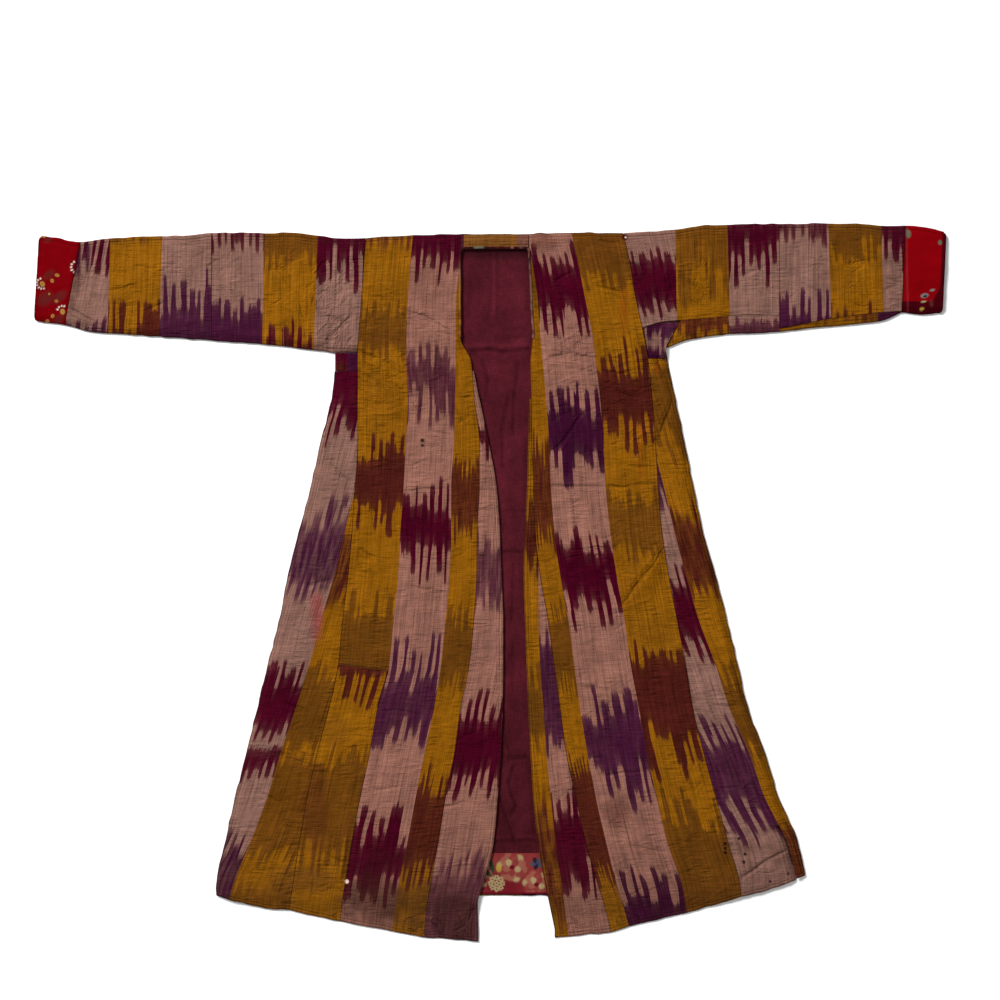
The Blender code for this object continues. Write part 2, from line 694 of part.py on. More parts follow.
def make_gusset_right():
    """The half of the right gusset that shows, lying on the sleeve's lower layer."""
    grid = []
    for row in RIGHT_GUSSET:
        ends = dict(zip(GUSSET_COLUMNS, row))
        line = []
        for share in (0.0, 0.5, 1.0):
            x = mix(ends["seam_x"], ends["out_x"], share) + 2.0 * SEAM_INSET
            drop = mix(ends["seam"], ends["out"], share) - 4.0 * ends["bow"] * share * (1.0 - share)
            line.append(wall_at(x, drop, FRONT_BASE))
        grid.append(line)
    cloth_solid("gusset_right", grid, GUSSET_PURPLE)


def centre_on_origin():
    """Move everything so that the origin is under the middle of the bounding box."""
    pieces = [thing for thing in bpy.context.scene.objects if thing.type == "MESH"]
    points = [vertex.co for thing in pieces for vertex in thing.data.vertices]
    for axis in (0, 1):
        low = min(point[axis] for point in points)
        high = max(point[axis] for point in points)
        for thing in pieces:
            thing.location[axis] = -0.5 * (low + high)


def main():
    for thing in list(bpy.data.objects):
        bpy.data.objects.remove(thing, do_unlink=True)
    make_back()
    make_fronts()
    make_front_gores()
    make_side_gores()
    make_neck_turn()
    make_neck_binding()
    make_opening()
    make_sleeves()
    make_underarms()
    make_gusset_left()
    make_gusset_right()
    centre_on_origin()


main()
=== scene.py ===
"""The looks of the Uzbek chapan robe, dressed over its CAD solids.

Lengths in the tables are millimetres: x is measured from the middle of the robe and
"drop" down the garment from the shoulder line. The world is in metres, with the
shoulders towards +Y, as the CAD part lies.
"""
import math

import bpy
import numpy as np
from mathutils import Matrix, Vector


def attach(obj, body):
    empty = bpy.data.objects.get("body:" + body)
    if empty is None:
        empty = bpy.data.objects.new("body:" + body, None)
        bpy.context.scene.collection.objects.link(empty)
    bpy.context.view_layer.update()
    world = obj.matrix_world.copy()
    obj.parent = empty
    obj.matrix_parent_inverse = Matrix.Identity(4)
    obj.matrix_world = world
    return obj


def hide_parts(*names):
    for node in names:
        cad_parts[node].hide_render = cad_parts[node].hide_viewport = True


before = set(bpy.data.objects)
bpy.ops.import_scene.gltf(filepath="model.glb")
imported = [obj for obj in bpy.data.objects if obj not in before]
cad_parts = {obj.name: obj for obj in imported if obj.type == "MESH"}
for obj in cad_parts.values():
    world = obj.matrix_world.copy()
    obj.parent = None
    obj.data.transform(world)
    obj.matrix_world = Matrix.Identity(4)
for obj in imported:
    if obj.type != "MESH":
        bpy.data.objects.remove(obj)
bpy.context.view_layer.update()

MM = 0.001
SHOULDER_Y = 632.0      # shoulder line above the origin
MIDDLE_X = -0.5         # the middle of the tables' x, in the part's frame

# ---- cloth, as in the CAD source --------------------
WALL = 2.0
LINING_WALL = 1.0
GAP = 0.3
SEAM_INSET = 0.2
EDGE_BASE = WALL + GAP
FRONT_BASE = WALL + 2.0 * GAP + LINING_WALL
HEM_FALL = 14.0
HEM_SAG = 5.0
SHOWN_INSET = 2.0
CLEAR_OF_HEM = 1.0
WAVE_HEIGHT = 1.2
WAVE_X = 83.0
WAVE_Y = 117.0
NECK_LEFT = -53.0
NECK_RIGHT = 70.0
NECK_DROP = 29.0
NECK_CORNER = 7.0
NECK_TUCK = 8.0
LINING_END = 1121.0
FACING_END = 1195.0

LINE_NAMES = ("side_l", "seam_l", "rib_a", "rib_b", "slit_l", "open_l",
              "open_r", "slit_r", "rib_c", "rib_d", "seam_r", "side_r")
SECTIONS = (
    # drop side_l seam_l rib_a rib_b slit_l open_l open_r slit_r rib_c rib_d seam_r side_r
    (0,    None, -224, -139, -47,  -53,  -53,  70,  70,  65, 147, 241, None),
    (60,   None, -228, -144, -55,  -53,  -53,  71,  71,  77, 160, 254, None),
    (120,  None, -232, -148, -61,  -53,  -53,  73,  73,  86, 172, 264, None),
    (190,  None, -237, -151, -62,  -53,  -53,  77,  77,  91, 186, 279, None),
    (232,  -278, -239, -151, -62,  -34,  -34,  73,  73,  95, 191, 286, 319),
    (300,  -287, -239, -148, -63,  -28,  -19,  71,  75, 101, 199, 293, 335),
    (380,  -307, -239, -152, -65,  -19,   -2,  69,  76, 107, 205, 299, 352),
    (460,  -325, -244, -156, -70,  -19,   12,  67,  79, 110, 209, 304, 368),
    (540,  -346, -249, -162, -70,  -23,   18,  63,  82, 116, 217, 311, 385),
    (620,  -366, -256, -166, -73,  -24,   21,  61,  91, 127, 229, 323, 408),
    (700,  -381, -266, -174, -80,  -29,   24,  63, 105, 141, 243, 338, 429),
    (780,  -402, -274, -182, -88,  -37,   24,  66, 116, 152, 254, 354, 448),
    (860,  -421, -291, -203, -101, -53,   23,  69, 127, 163, 269, 367, 467),
    (940,  -441, -312, -217, -118, -64,   20,  73, 138, 176, 283, 386, 497),
    (1020, -461, -330, -234, -134, -80,   14,  78, 155, 191, 301, 408, 522),
    (1100, -479, -344, -249, -149, -93,    7,  86, 173, 209, 320, 430, 556),
    (1180, -495, -356, -262, -165, -108, -13, 100, 196, 229, 347, 452, 571),
    (1212, -495, -361, -267, -171, -113, -22, 107, 206, 239, 353, 455, 571),
    (1260, -495, -366, -272, -177, -118, -21, 117, 218, 253, 360, 456, 571),
)
END_COLUMNS = ("top", "join", "gore", "tip", "back_hem", "front_hem")
LINE_ENDS = {
    "side_l": (2,  780,  925, 1066, 1194, 1198),
    "seam_l": (9,  780,  962, 1066, 1196, 1225),
    "rib_a": (4,  792,  962, 1066, 1197, 1245),
    "rib_b": (2,  792,  962, 1066, 1198, 1263),
    "slit_l": (2,  786,  950, 1066, 1198, 1274),
    "open_l": (2,  786,  950, 1066, 1198, 1281),
    "open_r": (2,  786,  950, 1066, 1198, 1274),
    "slit_r": (1,  786,  950, 1070, 1198, 1265),
    "rib_c": (1,  786,  950, 1070, 1196, 1254),
    "rib_d": (-1,  786,  950, 1075, 1192, 1230),
    "seam_r": (0,  786,  950, 1090, 1184, 1200),
    "side_r": (0,  786,  950, 1066, 1157, 1161),
}
# Woven stripe lines that leave a seam part of the way down a gore: that seam, and rows of
# drop and x that start where the line leaves it.
SLANT_LINES = {
    "stripe_g": ("seam_l", (
        (469, -245), (540, -262), (620, -281), (700, -305), (780, -326), (860, -351),
        (940, -378), (1020, -402), (1100, -432), (1180, -465), (1205, -472))),
    "stripe_h": ("slit_r", (
        (595, 88), (620, 88), (700, 88), (780, 91), (860, 97), (940, 102), (1020, 110),
        (1100, 119), (1180, 130), (1240, 138), (1275, 143))),
    "stripe_e": ("seam_r", (
        (407, 300), (460, 314), (540, 333), (620, 354), (700, 377), (780, 407),
        (860, 433), (940, 468), (1020, 496), (1066, 519), (1100, 536), (1161, 553))),
}

SLEEVE_COLUMNS = ("top_x", "top", "bottom_x", "bottom", "front")
LEFT_SLEEVE = (
    (-224,  9, -239, 217, 217),
    (-262, 10, -280, 217, 217),
    (-308,  5, -318, 212, 212),
    (-352,  0, -362, 207, 207),
    (-408,  0, -412, 201, 201),
    (-456,  0, -458, 198, 198),
    (-503,  0, -503, 195, 195),
    (-550,  4, -552, 191, 191),
    (-597,  6, -600, 188, 188),
    (-650,  8, -664, 183, 183),
    (-700, 11, -718, 179, 179),
    (-740, 16, -768, 167, 167),
    (-778, 10, -800, 163, 163),
    (-815,  4, -824, 159, 159),
)
RIGHT_SLEEVE = (
    (241,  0, 285, 228, 172),
    (280, -2, 318, 209, 161),
    (331, -5, 358, 194, 157),
    (389, -14, 408, 186, 153),
    (416, -15, 434, 183, 150),
    (468, -16, 474, 182, 148),
    (523, -16, 523, 179, 150),
)
RIGHT_LOWER_SLEEVE = (
    (523, -16, 523, 179, 173),
    (575, -17, 574, 173, 163),
    (620, -17, 618, 169, 155),
    (668, -17, 664, 165, 149),
    (710, -13, 706, 160, 144),
    (751, -13, 744, 144, 142),
)
RIGHT_CUFF = (
    (751, -13, 744, 144, 144),
    (788, -10, 782, 147, 147),
    (825, -2, 818, 145, 145),
)
LEFT_GUSSET_X = -280.0
LEFT_GUSSET_DROPS = (217.4, 249.6)
RIGHT_GUSSET = (
    # seam_x seam out_x out bow
    (278.0, 173, 340.6, 162.6, 4.5),
    (282.0, 200, 330.0, 185.0, 0.0),
    (285.0, 217, 318.7, 207.5, 0.0),
    (286.4, 227, 317.5, 227.0, 0.0),
)
RIGHT_GORE_RISE = 18.0

# ---- folds and creases in the top layer --------------------
FOLDS = (
    # x and drop of one end, x and drop of the other, half width, height
    (-235,  205, -140,  275, 22, 3.0),
    (-150,  140,  -65,  190, 22, 2.0),
    (-235,  310,  -75,  318, 24, 2.0),
    (-300,  500, -395, 1050, 30, 2.4),
    (-120,  520, -190, 1090, 30, 1.8),
    ( 110,  252,  280,  262, 24, 2.4),
    ( 150,  575,  250,  562, 24, 1.8),
    ( 313,  570,  236,  680, 24, 3.0),
    ( 350,  500,  515, 1050, 30, 2.4),
    ( 150,  700,  225, 1130, 30, 1.8),
    ( 452, 1165,  540, 1108, 24, 2.4),
    (-322,   70, -312,  190, 24, 2.8),
    (-610,   30, -602,  170, 28, 1.8),
    ( 338,   70,  408,  130, 24, 2.8),
    ( 600,   20,  588,  140, 28, 1.8),
)
CREASES = (
    # left front and gore
    (-239,  215, -185,  237, 5, -2.0), (-185,  237, -150,  262, 5, -2.2),
    (-236,  228, -190,  250, 7,  1.2), (-172,  275, -154,  302, 5, -1.4),
    (-145,  143, -104,  160, 5, -1.4), (-104,  160,  -62,  185, 6, -1.0),
    (-233,  302, -190,  312, 4, -1.4), (-190,  312, -150,  306, 5, -0.9),
    (-222,  330, -160,  326, 7,  0.9), (-235,  573, -208,  588, 5, -1.4),
    (-140,  420, -110,  414, 5, -0.8), (-156,  470,  -80,  462, 6, -0.9),
    (-150,  640,  -96,  648, 6, -0.9), (-238,  700, -196,  694, 6, -0.8),
    (-214,  860, -120,  872, 7, -0.8), (-226, 1010, -150, 1000, 6, -0.8),
    (-290,  420, -250,  452, 6, -1.2), (-330,  640, -290,  628, 6, -1.0),
    (-372,  850, -330,  868, 6, -1.2), (-420, 1010, -372, 1034, 7, -1.0),
    (-470, 1100, -440, 1160, 7, -1.0), (-300, 1120, -250, 1150, 6, -0.9),
    ( -30, 1222,  -44, 1246, 3, -1.6), ( -44, 1246,  -66, 1264, 3, -1.4),
    ( -64,  700,  -20,  712, 5, -0.8), ( -96, 1040,  -40, 1030, 6, -0.8),
    (-140,  306, -120,  330, 5, -1.0), (-214,  262, -176,  300, 5, -1.2),
    (-240,  250, -214,  268, 4, -1.6), (-200,  402, -172,  424, 5, -1.0),
    (-118,  500,  -98,  532, 5, -1.0), ( -60,  318,  -40,  352, 4, -1.2),
    ( -56,  346,  -36,  330, 4, -1.0), ( -52,  300,  -30,  296, 4, -0.9),
    # right front and gore
    ( 110,  397,  150,  357, 4, -1.6), ( 150,  357,  174,  324, 4, -1.4),
    (  82,  136,   98,  148, 4, -1.4), ( 213,  461,  258,  459, 4, -1.4),
    ( 258,  459,  303,  456, 4, -1.2), ( 300,  220,  316,  262, 4, -1.2),
    ( 306,  240,  332,  300, 5, -1.0), ( 130,  330,  160,  326, 5, -0.8),
    ( 199,   98,  240,  109, 4, -1.5), ( 152,  206,  183,  192, 4, -1.2),
    (  96,  145,  121,  166, 4, -1.3), ( 123,  168,  134,  228, 3, -1.2),
    ( 110,  226,  150,  221, 4, -1.3), ( 150,  221,  194,  226, 4, -1.4),
    ( 112,  236,  190,  240, 7,  0.9), ( 199,  251,  236,  255, 4, -1.8),
    ( 236,  255,  271,  250, 4, -1.4), ( 228,  288,  257,  299, 4, -1.4),
    ( 121,  393,  141,  365, 4, -1.3), ( 112,  459,  205,  461, 5, -1.2),
    ( 128,  573,  230,  571, 5, -1.2), ( 313,  570,  276,  622, 5, -2.0),
    ( 276,  622,  238,  674, 6, -1.6), ( 320,  560,  290,  600, 7,  1.2),
    ( 236,  420,  300,  428, 6, -0.8), ( 215,  690,  252,  684, 6, -0.9),
    ( 160,  820,  250,  836, 6, -0.8), ( 190,  985,  290,  970, 7, -0.9),
    ( 250, 1110,  330, 1122, 6, -0.8), ( 330,  300,  306,  372, 6, -1.2),
    ( 344,  520,  372,  600, 6, -1.0), ( 400,  760,  440,  800, 6, -1.1),
    ( 452, 1167,  503, 1134, 5, -2.0), ( 503, 1134,  540, 1114, 5, -1.8),
    ( 470,  980,  500, 1040, 6, -1.0), ( 400, 1010,  450, 1002, 6, -0.9),
    ( 118,   90,  150,   70, 5, -0.9), ( 190,   14,  240,   20, 5, -0.9),
    # left sleeve
    (-318,  122, -262,  202, 5, -1.8), (-306,  150, -250,  168, 5, -1.4),
    (-292,  196, -248,  150, 4, -1.5), (-344,  120, -335,  168, 5, -1.2),
    (-300,   96, -282,  128, 5, -1.0), (-270,   60, -246,   92, 6, -0.8),
    (-388,   60, -350,   96, 6, -0.9), (-470,   90, -430,  130, 6, -0.8),
    (-560,   64, -520,   96, 6, -0.8), (-640,   60, -612,   66, 5, -0.9),
    (-684,  104, -640,   98, 5, -1.0), (-588,  126, -620,  140, 5, -1.2),
    (-764,  136, -712,  166, 4, -1.6), (-745,   66, -700,   78, 6, -0.9),
    # right sleeve
    ( 344,   81,  402,  127, 4, -1.8), ( 352,   74,  396,  106, 6,  1.0),
    ( 318,   60,  330,  110, 5, -1.0), ( 296,  108,  330,  128, 5, -1.2),
    ( 450,   80,  500,   60, 6, -0.8), ( 560,   90,  600,  110, 6, -0.9),
    ( 640,   60,  690,   50, 6, -0.9), ( 716,   84,  742,   96, 4, -1.2),
    ( 712,  104,  742,   98, 4, -1.0), ( 640,  120,  672,  136, 5, -1.0),
)
CREASE_REACH = 9.0      # a crease is felt up to here
CRINKLE_SEED = 7
# Where short creases lie scattered, and how they run.
CRINKLED = (
    # x, drop, half across, half down, count, slant, turn, length, height
    (-190,  210,   44,  110,  64,   10,  40,  26, 1.0), (-100,  220,   40,  100,  33,   12,  35,  24, 0.8),
    (-285,  130,   34,   80,  56,  -40,  50,  26, 1.1), (-360,   90,   40,   80,  22,   20,  60,  26, 0.7),
    (-120,  700,  130,  420,  98,    6,  25,  28, 0.7), (-330,  700,   60,  300,  42,   20,  40,  26, 0.8),
    (-640,  100,  100,   50,  42,   10,  60,  24, 0.7), (-500,   90,   60,   60,  19,    0,  60,  24, 0.7),
    ( 150,  250,   60,   90,  47,   -8,  25,  28, 0.9), ( 245,  300,   50,  110,  47,   -6,  30,  28, 0.9),
    ( 330,  110,   60,   60,  36,   30,  50,  24, 0.9), ( 205,  680,  110,  420,  98,   -8,  25,  28, 0.7),
    ( 410,  900,   70,  230,  42,  -20,  35,  28, 0.8), ( 345,  480,   40,  160,  28,   60,  30,  26, 0.8),
    ( 560,   90,  120,   50,  36,   10,  60,  24, 0.6), ( 700,   90,   50,   50,  19,   10,  60,  22, 0.7),
    (-300, 1150,  140,   60,  36,    8,  25,  26, 0.8), ( 300, 1150,  180,   60,  42,  -12,  25,  26, 0.8),
)
SHARPER = 0.66          # how much narrower and deeper than listed the troughs are made
SHARPEST = 2.9
SHARP_CREASES = tuple(
    (*line, width, height) if height > 0.0 else (*line, max(SHARPEST, SHARPER * width), 1.25 * height)
    for *line, width, height in CREASES)
LINING_FOLDS = (
    (-45, 225,   0, 202, 14, 1.6), (  0, 202,  30, 222, 14, 1.2),
    ( 30, 222,  70, 205, 14, 1.6), ( 12,  60,  14, 180, 10, 1.0),
    (-10, 800,  40, 880, 18, 1.4), ( 10, 1080, 50, 1090, 12, 1.2),
)
LINING_CREASES = (
    (-40,  214,   2,  211, 3, -1.8), (  2,  211,  24,  216, 3, -1.8), ( 24,  216,  72,  210, 3, -1.7),
    (-38,  206,   3,  203, 4,  1.3), (  3,  203,  24,  207, 4,  1.3), ( 24,  207,  72,  202, 4,  1.1),
    (-49,  227, -24,  217, 3, -1.6), (  2,   38,   2,  141, 3, -1.0), (  8,   38,   8,  150, 3,  0.7),
    ( 13,   38,  13,  166, 3, -0.9), ( 30,  176,  64,  174, 3, -0.8), ( 34,  190,  66,  188, 3, -0.8),
    (-13,  230,  -3,  268, 3, -1.3), ( -3,  268,  -7,  297, 3, -1.1), ( 51,  239,  43,  297, 3, -1.5),
    ( 43,  297,  42,  366, 3, -1.4), ( 34,  297,  22,  356, 3, -1.4), ( 22,  356,  24,  425, 3, -1.2),
    (-20,  302,   2,  308, 3, -1.2), ( 18,  503,  60,  503, 3, -0.9), ( 18,  577,  62,  577, 3, -1.5),
    ( 43,  600,  40,  700, 3, -0.9), ( 42,  740,  42,  830, 3, -0.8), ( 21,  906,  32,  939, 4,  1.4),
    ( 26,  914,  36,  944, 3, -1.2), ( 34,  952,  66,  948, 3, -1.6), ( 43,  964,  34,  995, 3, -1.5),
    ( 34,  995,  41, 1020, 3, -1.5), ( 41, 1020,  47, 1037, 3, -1.4), ( 47, 1037,  38, 1054, 3, -1.3),
    ( 17, 1022,  28, 1054, 3, -1.4), ( 28, 1054,  43, 1093, 3, -1.4), ( 43, 1093,  45, 1106, 3, -1.2),
    ( 11, 1101,  84, 1099, 3, -1.0), ( 11, 1094,  84, 1092, 3,  0.8), (-34,   60, -38,  150, 5, -0.6),
)

# ---- the ikat's dyes and bands --------------------
DYES = {
    # sRGB, as the cloth looks in even light, but coral, crimson, cream and blush also hold painted shade:
    # they are darkened for the shadow that the fronts cast on the facing
    "pink": (146, 99, 85),
    "rose": (136, 98, 86),
    "mustard": (140, 87, 10),
    "olive": (103, 61, 14),
    "brown": (76, 26, 20),
    "burgundy": (69, 3, 26),
    "purple": (66, 20, 47),
    "plum": (84, 38, 52),
    "plum_dark": (76, 30, 44),
    "violet": (58, 12, 40),
    "soil_and_shadow": (62, 36, 26),
    # Near black: for holes, for the binding's own dark, and for painted shadow.
    "hole_and_shadow": (22, 9, 13),
    "rust": (142, 56, 12),
    "red_worn": (117, 0, 8),
    "bleed": (150, 62, 62),
    "maroon": (84, 26, 36),
    "maroon_deep": (70, 21, 29),
    "red": (131, 1, 9),
    "wine": (66, 2, 12),
    "faded": (88, 34, 30),
    "gold": (176, 132, 66),
    "white": (232, 208, 190),
    "ochre": (124, 78, 32),
    "dun": (118, 74, 60),
    # Painted shade: coral, crimson, cream and blush are darkened for the fronts' shadow on the facing.
    "coral": (132, 50, 48),
    "crimson": (104, 12, 30),
    "cream": (168, 146, 104),
    "blush": (150, 86, 70),
    "leaf": (50, 56, 40),
    "yellow": (176, 146, 60),
    "slate": (60, 72, 92),
    "navy": (22, 26, 42),
    "grey": (120, 122, 118),
    "sage": (98, 98, 76),
}
# start and end = where the dye is solid, up and down = how far its fingers reach beyond,
# weak = how thin the dye is.
BAND_COLUMNS = ("start", "end", "up", "down", "dye", "weak")
STRIPES = {
    "gore_l_outer": ("rose", (
        (225, 325, 0, 66, "burgundy", 0.0), (520, 632, 50, 46, "purple", 0.35),
        (806, 896, 46, 34, "burgundy", 0.0), (932, 968, 10, 30, "burgundy", 0.0),
        (1118, 1260, 44, 30, "violet", 0.25))),
    "gore_l_inner": ("mustard", (
        (540, 655, 30, 30, "brown", 0.45), (800, 922, 36, 30, "olive", 0.1),
        (955, 1120, 36, 40, "olive", 0.15), (1185, 1225, 20, 20, "olive", 0.4))),
    "strip_1": ("mustard", (
        (-40, 10, 20, 26, "brown", 0.45), (146, 208, 30, 30, "olive", 0.1),
        (400, 504, 42, 60, "brown", 0.0), (684, 830, 40, 30, "olive", 0.0))),
    "strip_1_piece": ("mustard", (
        (770, 812, 10, 54, "brown", 0.0), (960, 1112, 46, 60, "olive", 0.1))),
    "strip_2": ("pink", (
        (-40, 48, 20, 56, "burgundy", 0.0), (226, 298, 48, 62, "plum_dark", 0.2),
        (494, 578, 58, 62, "burgundy", 0.0), (802, 894, 82, 48, "purple", 0.1),
        (1090, 1170, 66, 66, "burgundy", 0.0))),
    "strip_3": ("mustard", (
        (432, 528, 36, 40, "brown", 0.2), (704, 806, 42, 40, "olive", 0.0),
        (1000, 1148, 46, 46, "brown", 0.1))),
    "strip_4": ("pink", (
        (356, 386, 20, 34, "burgundy", 0.0), (560, 660, 44, 44, "plum", 0.3),
        (868, 984, 46, 48, "burgundy", 0.0), (1160, 1310, 56, 30, "plum", 0.35))),
    "edge_strip": ("mustard", (
        (300, 370, 30, 40, "olive", 0.3), (504, 596, 34, 54, "brown", 0.15),
        (812, 914, 40, 42, "olive", 0.1), (1050, 1230, 50, 44, "brown", 0.6))),
    "front_wedge": ("pink", (
        (742, 912, 34, 40, "purple", 0.1), (1052, 1152, 60, 62, "burgundy", 0.0))),
    "right_1": ("mustard", (
        (60, 118, 40, 40, "olive", 0.3), (400, 542, 48, 44, "brown", 0.25),
        (694, 806, 40, 44, "olive", 0.0), (974, 1148, 48, 52, "brown", 0.1))),
    "right_2": ("pink", (
        (60, 150, 46, 52, "burgundy", 0.0), (318, 408, 56, 62, "violet", 0.0),
        (572, 658, 48, 80, "burgundy", 0.0), (870, 976, 60, 84, "purple", 0.05),
        (1192, 1320, 62, 30, "violet", 0.0))),
    "right_3": ("mustard", (
        (-40, 80, 20, 56, "olive", 0.0), (246, 342, 62, 62, "brown", 0.0),
        (486, 570, 34, 36, "olive", 0.1), (770, 912, 44, 84, "brown", 0.0),
        (1060, 1300, 60, 44, "olive", 0.0))),
    "gore_r_inner": ("rose", (
        (400, 470, 10, 36, "purple", 0.2), (642, 732, 46, 52, "burgundy", 0.0),
        (920, 1046, 56, 70, "purple", 0.1))),
    "gore_r_outer": ("mustard", (
        (246, 372, 20, 60, "olive", 0.15), (514, 642, 42, 44, "brown", 0.25),
        (812, 922, 44, 44, "olive", 0.0), (1075, 1180, 10, 30, "brown", 0.3))),
    "sleeve_a": ("rose", ((-30, 42, 20, 80, "burgundy", 0.0),)),
    "sleeve_b": ("mustard", (
        (-30, 44, 20, 30, "olive", 0.1), (206, 240, 58, 20, "burgundy", 0.1))),
    "sleeve_c": ("rose", (
        (-24, 2, 10, 46, "burgundy", 0.1), (146, 240, 46, 20, "purple", 0.0))),
    "sleeve_c_end": ("rose", (
        (-40, -20, 5, 16, "burgundy", 0.1), (134, 240, 74, 20, "purple", 0.05))),
    "sleeve_d": ("mustard", (
        (-20, 8, 10, 16, "olive", 0.1), (172, 240, 76, 20, "brown", 0.05))),
    "sleeve_e": ("rose", (
        (-24, 12, 10, 84, "burgundy", 0.0), (176, 230, 26, 20, "purple", 0.1))),
    "sleeve_f": ("rose", (
        (54, 132, 30, 34, "burgundy", 0.0),)),
    "sleeve_g": ("mustard", (
        (-30, 60, 20, 80, "olive", 0.35),)),
    "sleeve_h": ("rose", ((-30, 36, 20, 66, "burgundy", 0.0),)),
    "sleeve_i": ("rose", (
        (-24, -2, 10, 34, "burgundy", 0.2), (150, 240, 56, 20, "purple", 0.0))),
    "sleeve_j": ("mustard", (
        (-30, 22, 20, 50, "olive", 0.0), (160, 240, 40, 20, "brown", 0.2))),
    "sleeve_k": ("rose", ((-30, 28, 20, 52, "burgundy", 0.0),)),
    "underarm_a": ("mustard", ((150, 172, 10, 30, "brown", 0.15),)),
    "underarm_b": ("rose", ((166, 230, 16, 20, "plum", 0.0),)),
    "underarm_c": ("mustard", ((140, 154, 10, 14, "brown", 0.3),)),
    "underarm_d": ("plum", ((140, 190, 10, 10, "purple", 0.0),)),
    "gusset": ("violet", ((190, 204, 34, 40, "rose", 0.15),)),
    "gusset_edge": ("rose", ((150, 196, 20, 46, "purple", 0.0), (214, 236, 10, 20, "violet", 0.1))),
    "gusset_brown": ("brown", ((190, 236, 20, 20, "burgundy", 0.2),)),
    "gusset_purple": ("violet", ((200, 260, 20, 20, "violet", 0.1),)),
    "neck_side": ("plum", ((-40, 10, 10, 22, "burgundy", 0.1),)),
    "neck_edge": ("dun", ((-40, -12, 10, 12, "burgundy", 0.1),)),
    "neck_middle": ("ochre", ((-40, -8, 10, 14, "olive", 0.1),)),
}
FINGER = 7.3            # width of one tied bundle of warp
# Marks that the cloth has taken in use, and painted shadow along the left sleeve's end where it lies over
# the cuff: x, drop, radii, dye, strength.
STAINS_AND_SHADOWS = (
    (-309,  690,  9, 48, "bleed", 0.55), (-316, 1040, 26, 84, "brown", 0.55),
    ( 228, 1048, 26, 34, "brown", 0.45), (-318,  700,  8, 60, "bleed", 0.35),
    ( 140, 1010, 40, 30, "soil_and_shadow", 0.16),
    (-208, 1204, 60, 52, "soil_and_shadow", 0.62), ( -56, 1246, 50, 66, "soil_and_shadow", 0.78),
    (-116, 1216, 60, 54, "soil_and_shadow", 0.50), (-170, 1140, 60, 30, "soil_and_shadow", 0.16),
    # The first of these darkens the right front's top beside the neck.
    (  99,   18, 26, 22, "soil_and_shadow", 0.36), (-114,   92, 26, 52, "soil_and_shadow", 0.26),
    (-196,  196, 34, 24, "brown", 0.20), (-766,  132, 24, 24, "soil_and_shadow", 0.26),
    ( 148,  232, 40, 44, "soil_and_shadow", 0.14), ( 194,   34, 50, 44, "brown", 0.24),
    (-196,  302, 50, 60, "olive", 0.22), ( 241,  140,  9, 52, "rust", 0.30),
    ( 302,  246,  6, 14, "rust", 0.40), ( 272,  400,  6, 56, "rust", 0.26),
    (-330, 1170, 70, 26, "soil_and_shadow", 0.30),
    ( 215,  300, 30, 60, "brown", 0.16), ( 256,  640, 16, 60, "brown", 0.14),
    ( 442, 1110, 40, 20, "soil_and_shadow", 0.22), ( 520, 1120, 30, 24, "soil_and_shadow", 0.25),
    (-250, 1090, 26, 40, "brown", 0.20), ( 300, 1180, 60, 20, "soil_and_shadow", 0.20),
    (-280,  900, 30, 30, "soil_and_shadow", 0.14), ( -40, 1100, 40, 40, "soil_and_shadow", 0.12),
    (-500,  150, 60, 20, "soil_and_shadow", 0.10), ( 620,   90, 50, 30, "soil_and_shadow", 0.10),
    (  92,   10, 34, 18, "dun", 0.80), (-743,   52,  5, 42, "violet", 0.95),
    (-727,   46,  5, 40, "violet", 0.90), (-734,    8, 20,  8, "violet", 0.80),
    # Painted shadow along the left sleeve's end, where it lies over the cuff.
    (-748,   84,  7, 34, "soil_and_shadow", 0.50), (-755,  116,  6, 30, "soil_and_shadow", 0.40),
)
SOIL_START = 1030.0     # the hem's soiling begins here
SOIL_FULL = 1270.0
SOIL_SHARE = 0.34
# Small marks with a clear edge: x, drop, radius, dye.
SPOTS = (
    (-122.0,  375.5, 3.4, "hole_and_shadow"), (-122.0,  384.5, 2.6, "hole_and_shadow"),
    ( 425.0, 1104.0, 2.9, "hole_and_shadow"), ( 425.0, 1112.0, 2.6, "hole_and_shadow"),
    ( 425.0, 1120.0, 2.9, "hole_and_shadow"), ( 449.5, 1094.5, 2.6, "hole_and_shadow"),
    ( 460.5, 1122.5, 2.6, "hole_and_shadow"), ( 458.5, 1137.0, 2.9, "hole_and_shadow"), ( 506.0, 1172.0, 2.6, "purple"),
    ( 539.0, 1158.0, 2.4, "purple"), (-258.5, 1172.0, 3.4, "white"),
    ( 243.5,    8.5, 5.2, "wine"), ( 245.0,    8.5, 1.6, "white"),
)


# ---- curves and noise --------------------
def curve(stations, values, at):
    """A smooth curve through the values, with no overshoot, flat past its ends."""
    stations = np.asarray(stations, float)
    values = np.asarray(values, float)
    steps = np.diff(stations)
    slopes = np.diff(values) / steps
    product = slopes[:-1] * slopes[1:]
    both = np.where(product > 0.0, slopes[:-1] + slopes[1:], 1.0)
    inner = np.where(product > 0.0, 2.0 * product / both, 0.0)
    tangents = np.concatenate(([slopes[0]], inner, [slopes[-1]]))
    at = np.clip(np.asarray(at, float), stations[0], stations[-1])
    i = np.clip(np.searchsorted(stations, at, side="right") - 1, 0, len(steps) - 1)
    t = (at - stations[i]) / steps[i]
    start = (1.0 + 2.0 * t) * (1.0 - t) ** 2 * values[i]
    leave = t * (1.0 - t) ** 2 * steps[i] * tangents[i]
    end = t * t * (3.0 - 2.0 * t) * values[i + 1]
    arrive = t * t * (t - 1.0) * steps[i] * tangents[i + 1]
    return start + leave + end + arrive


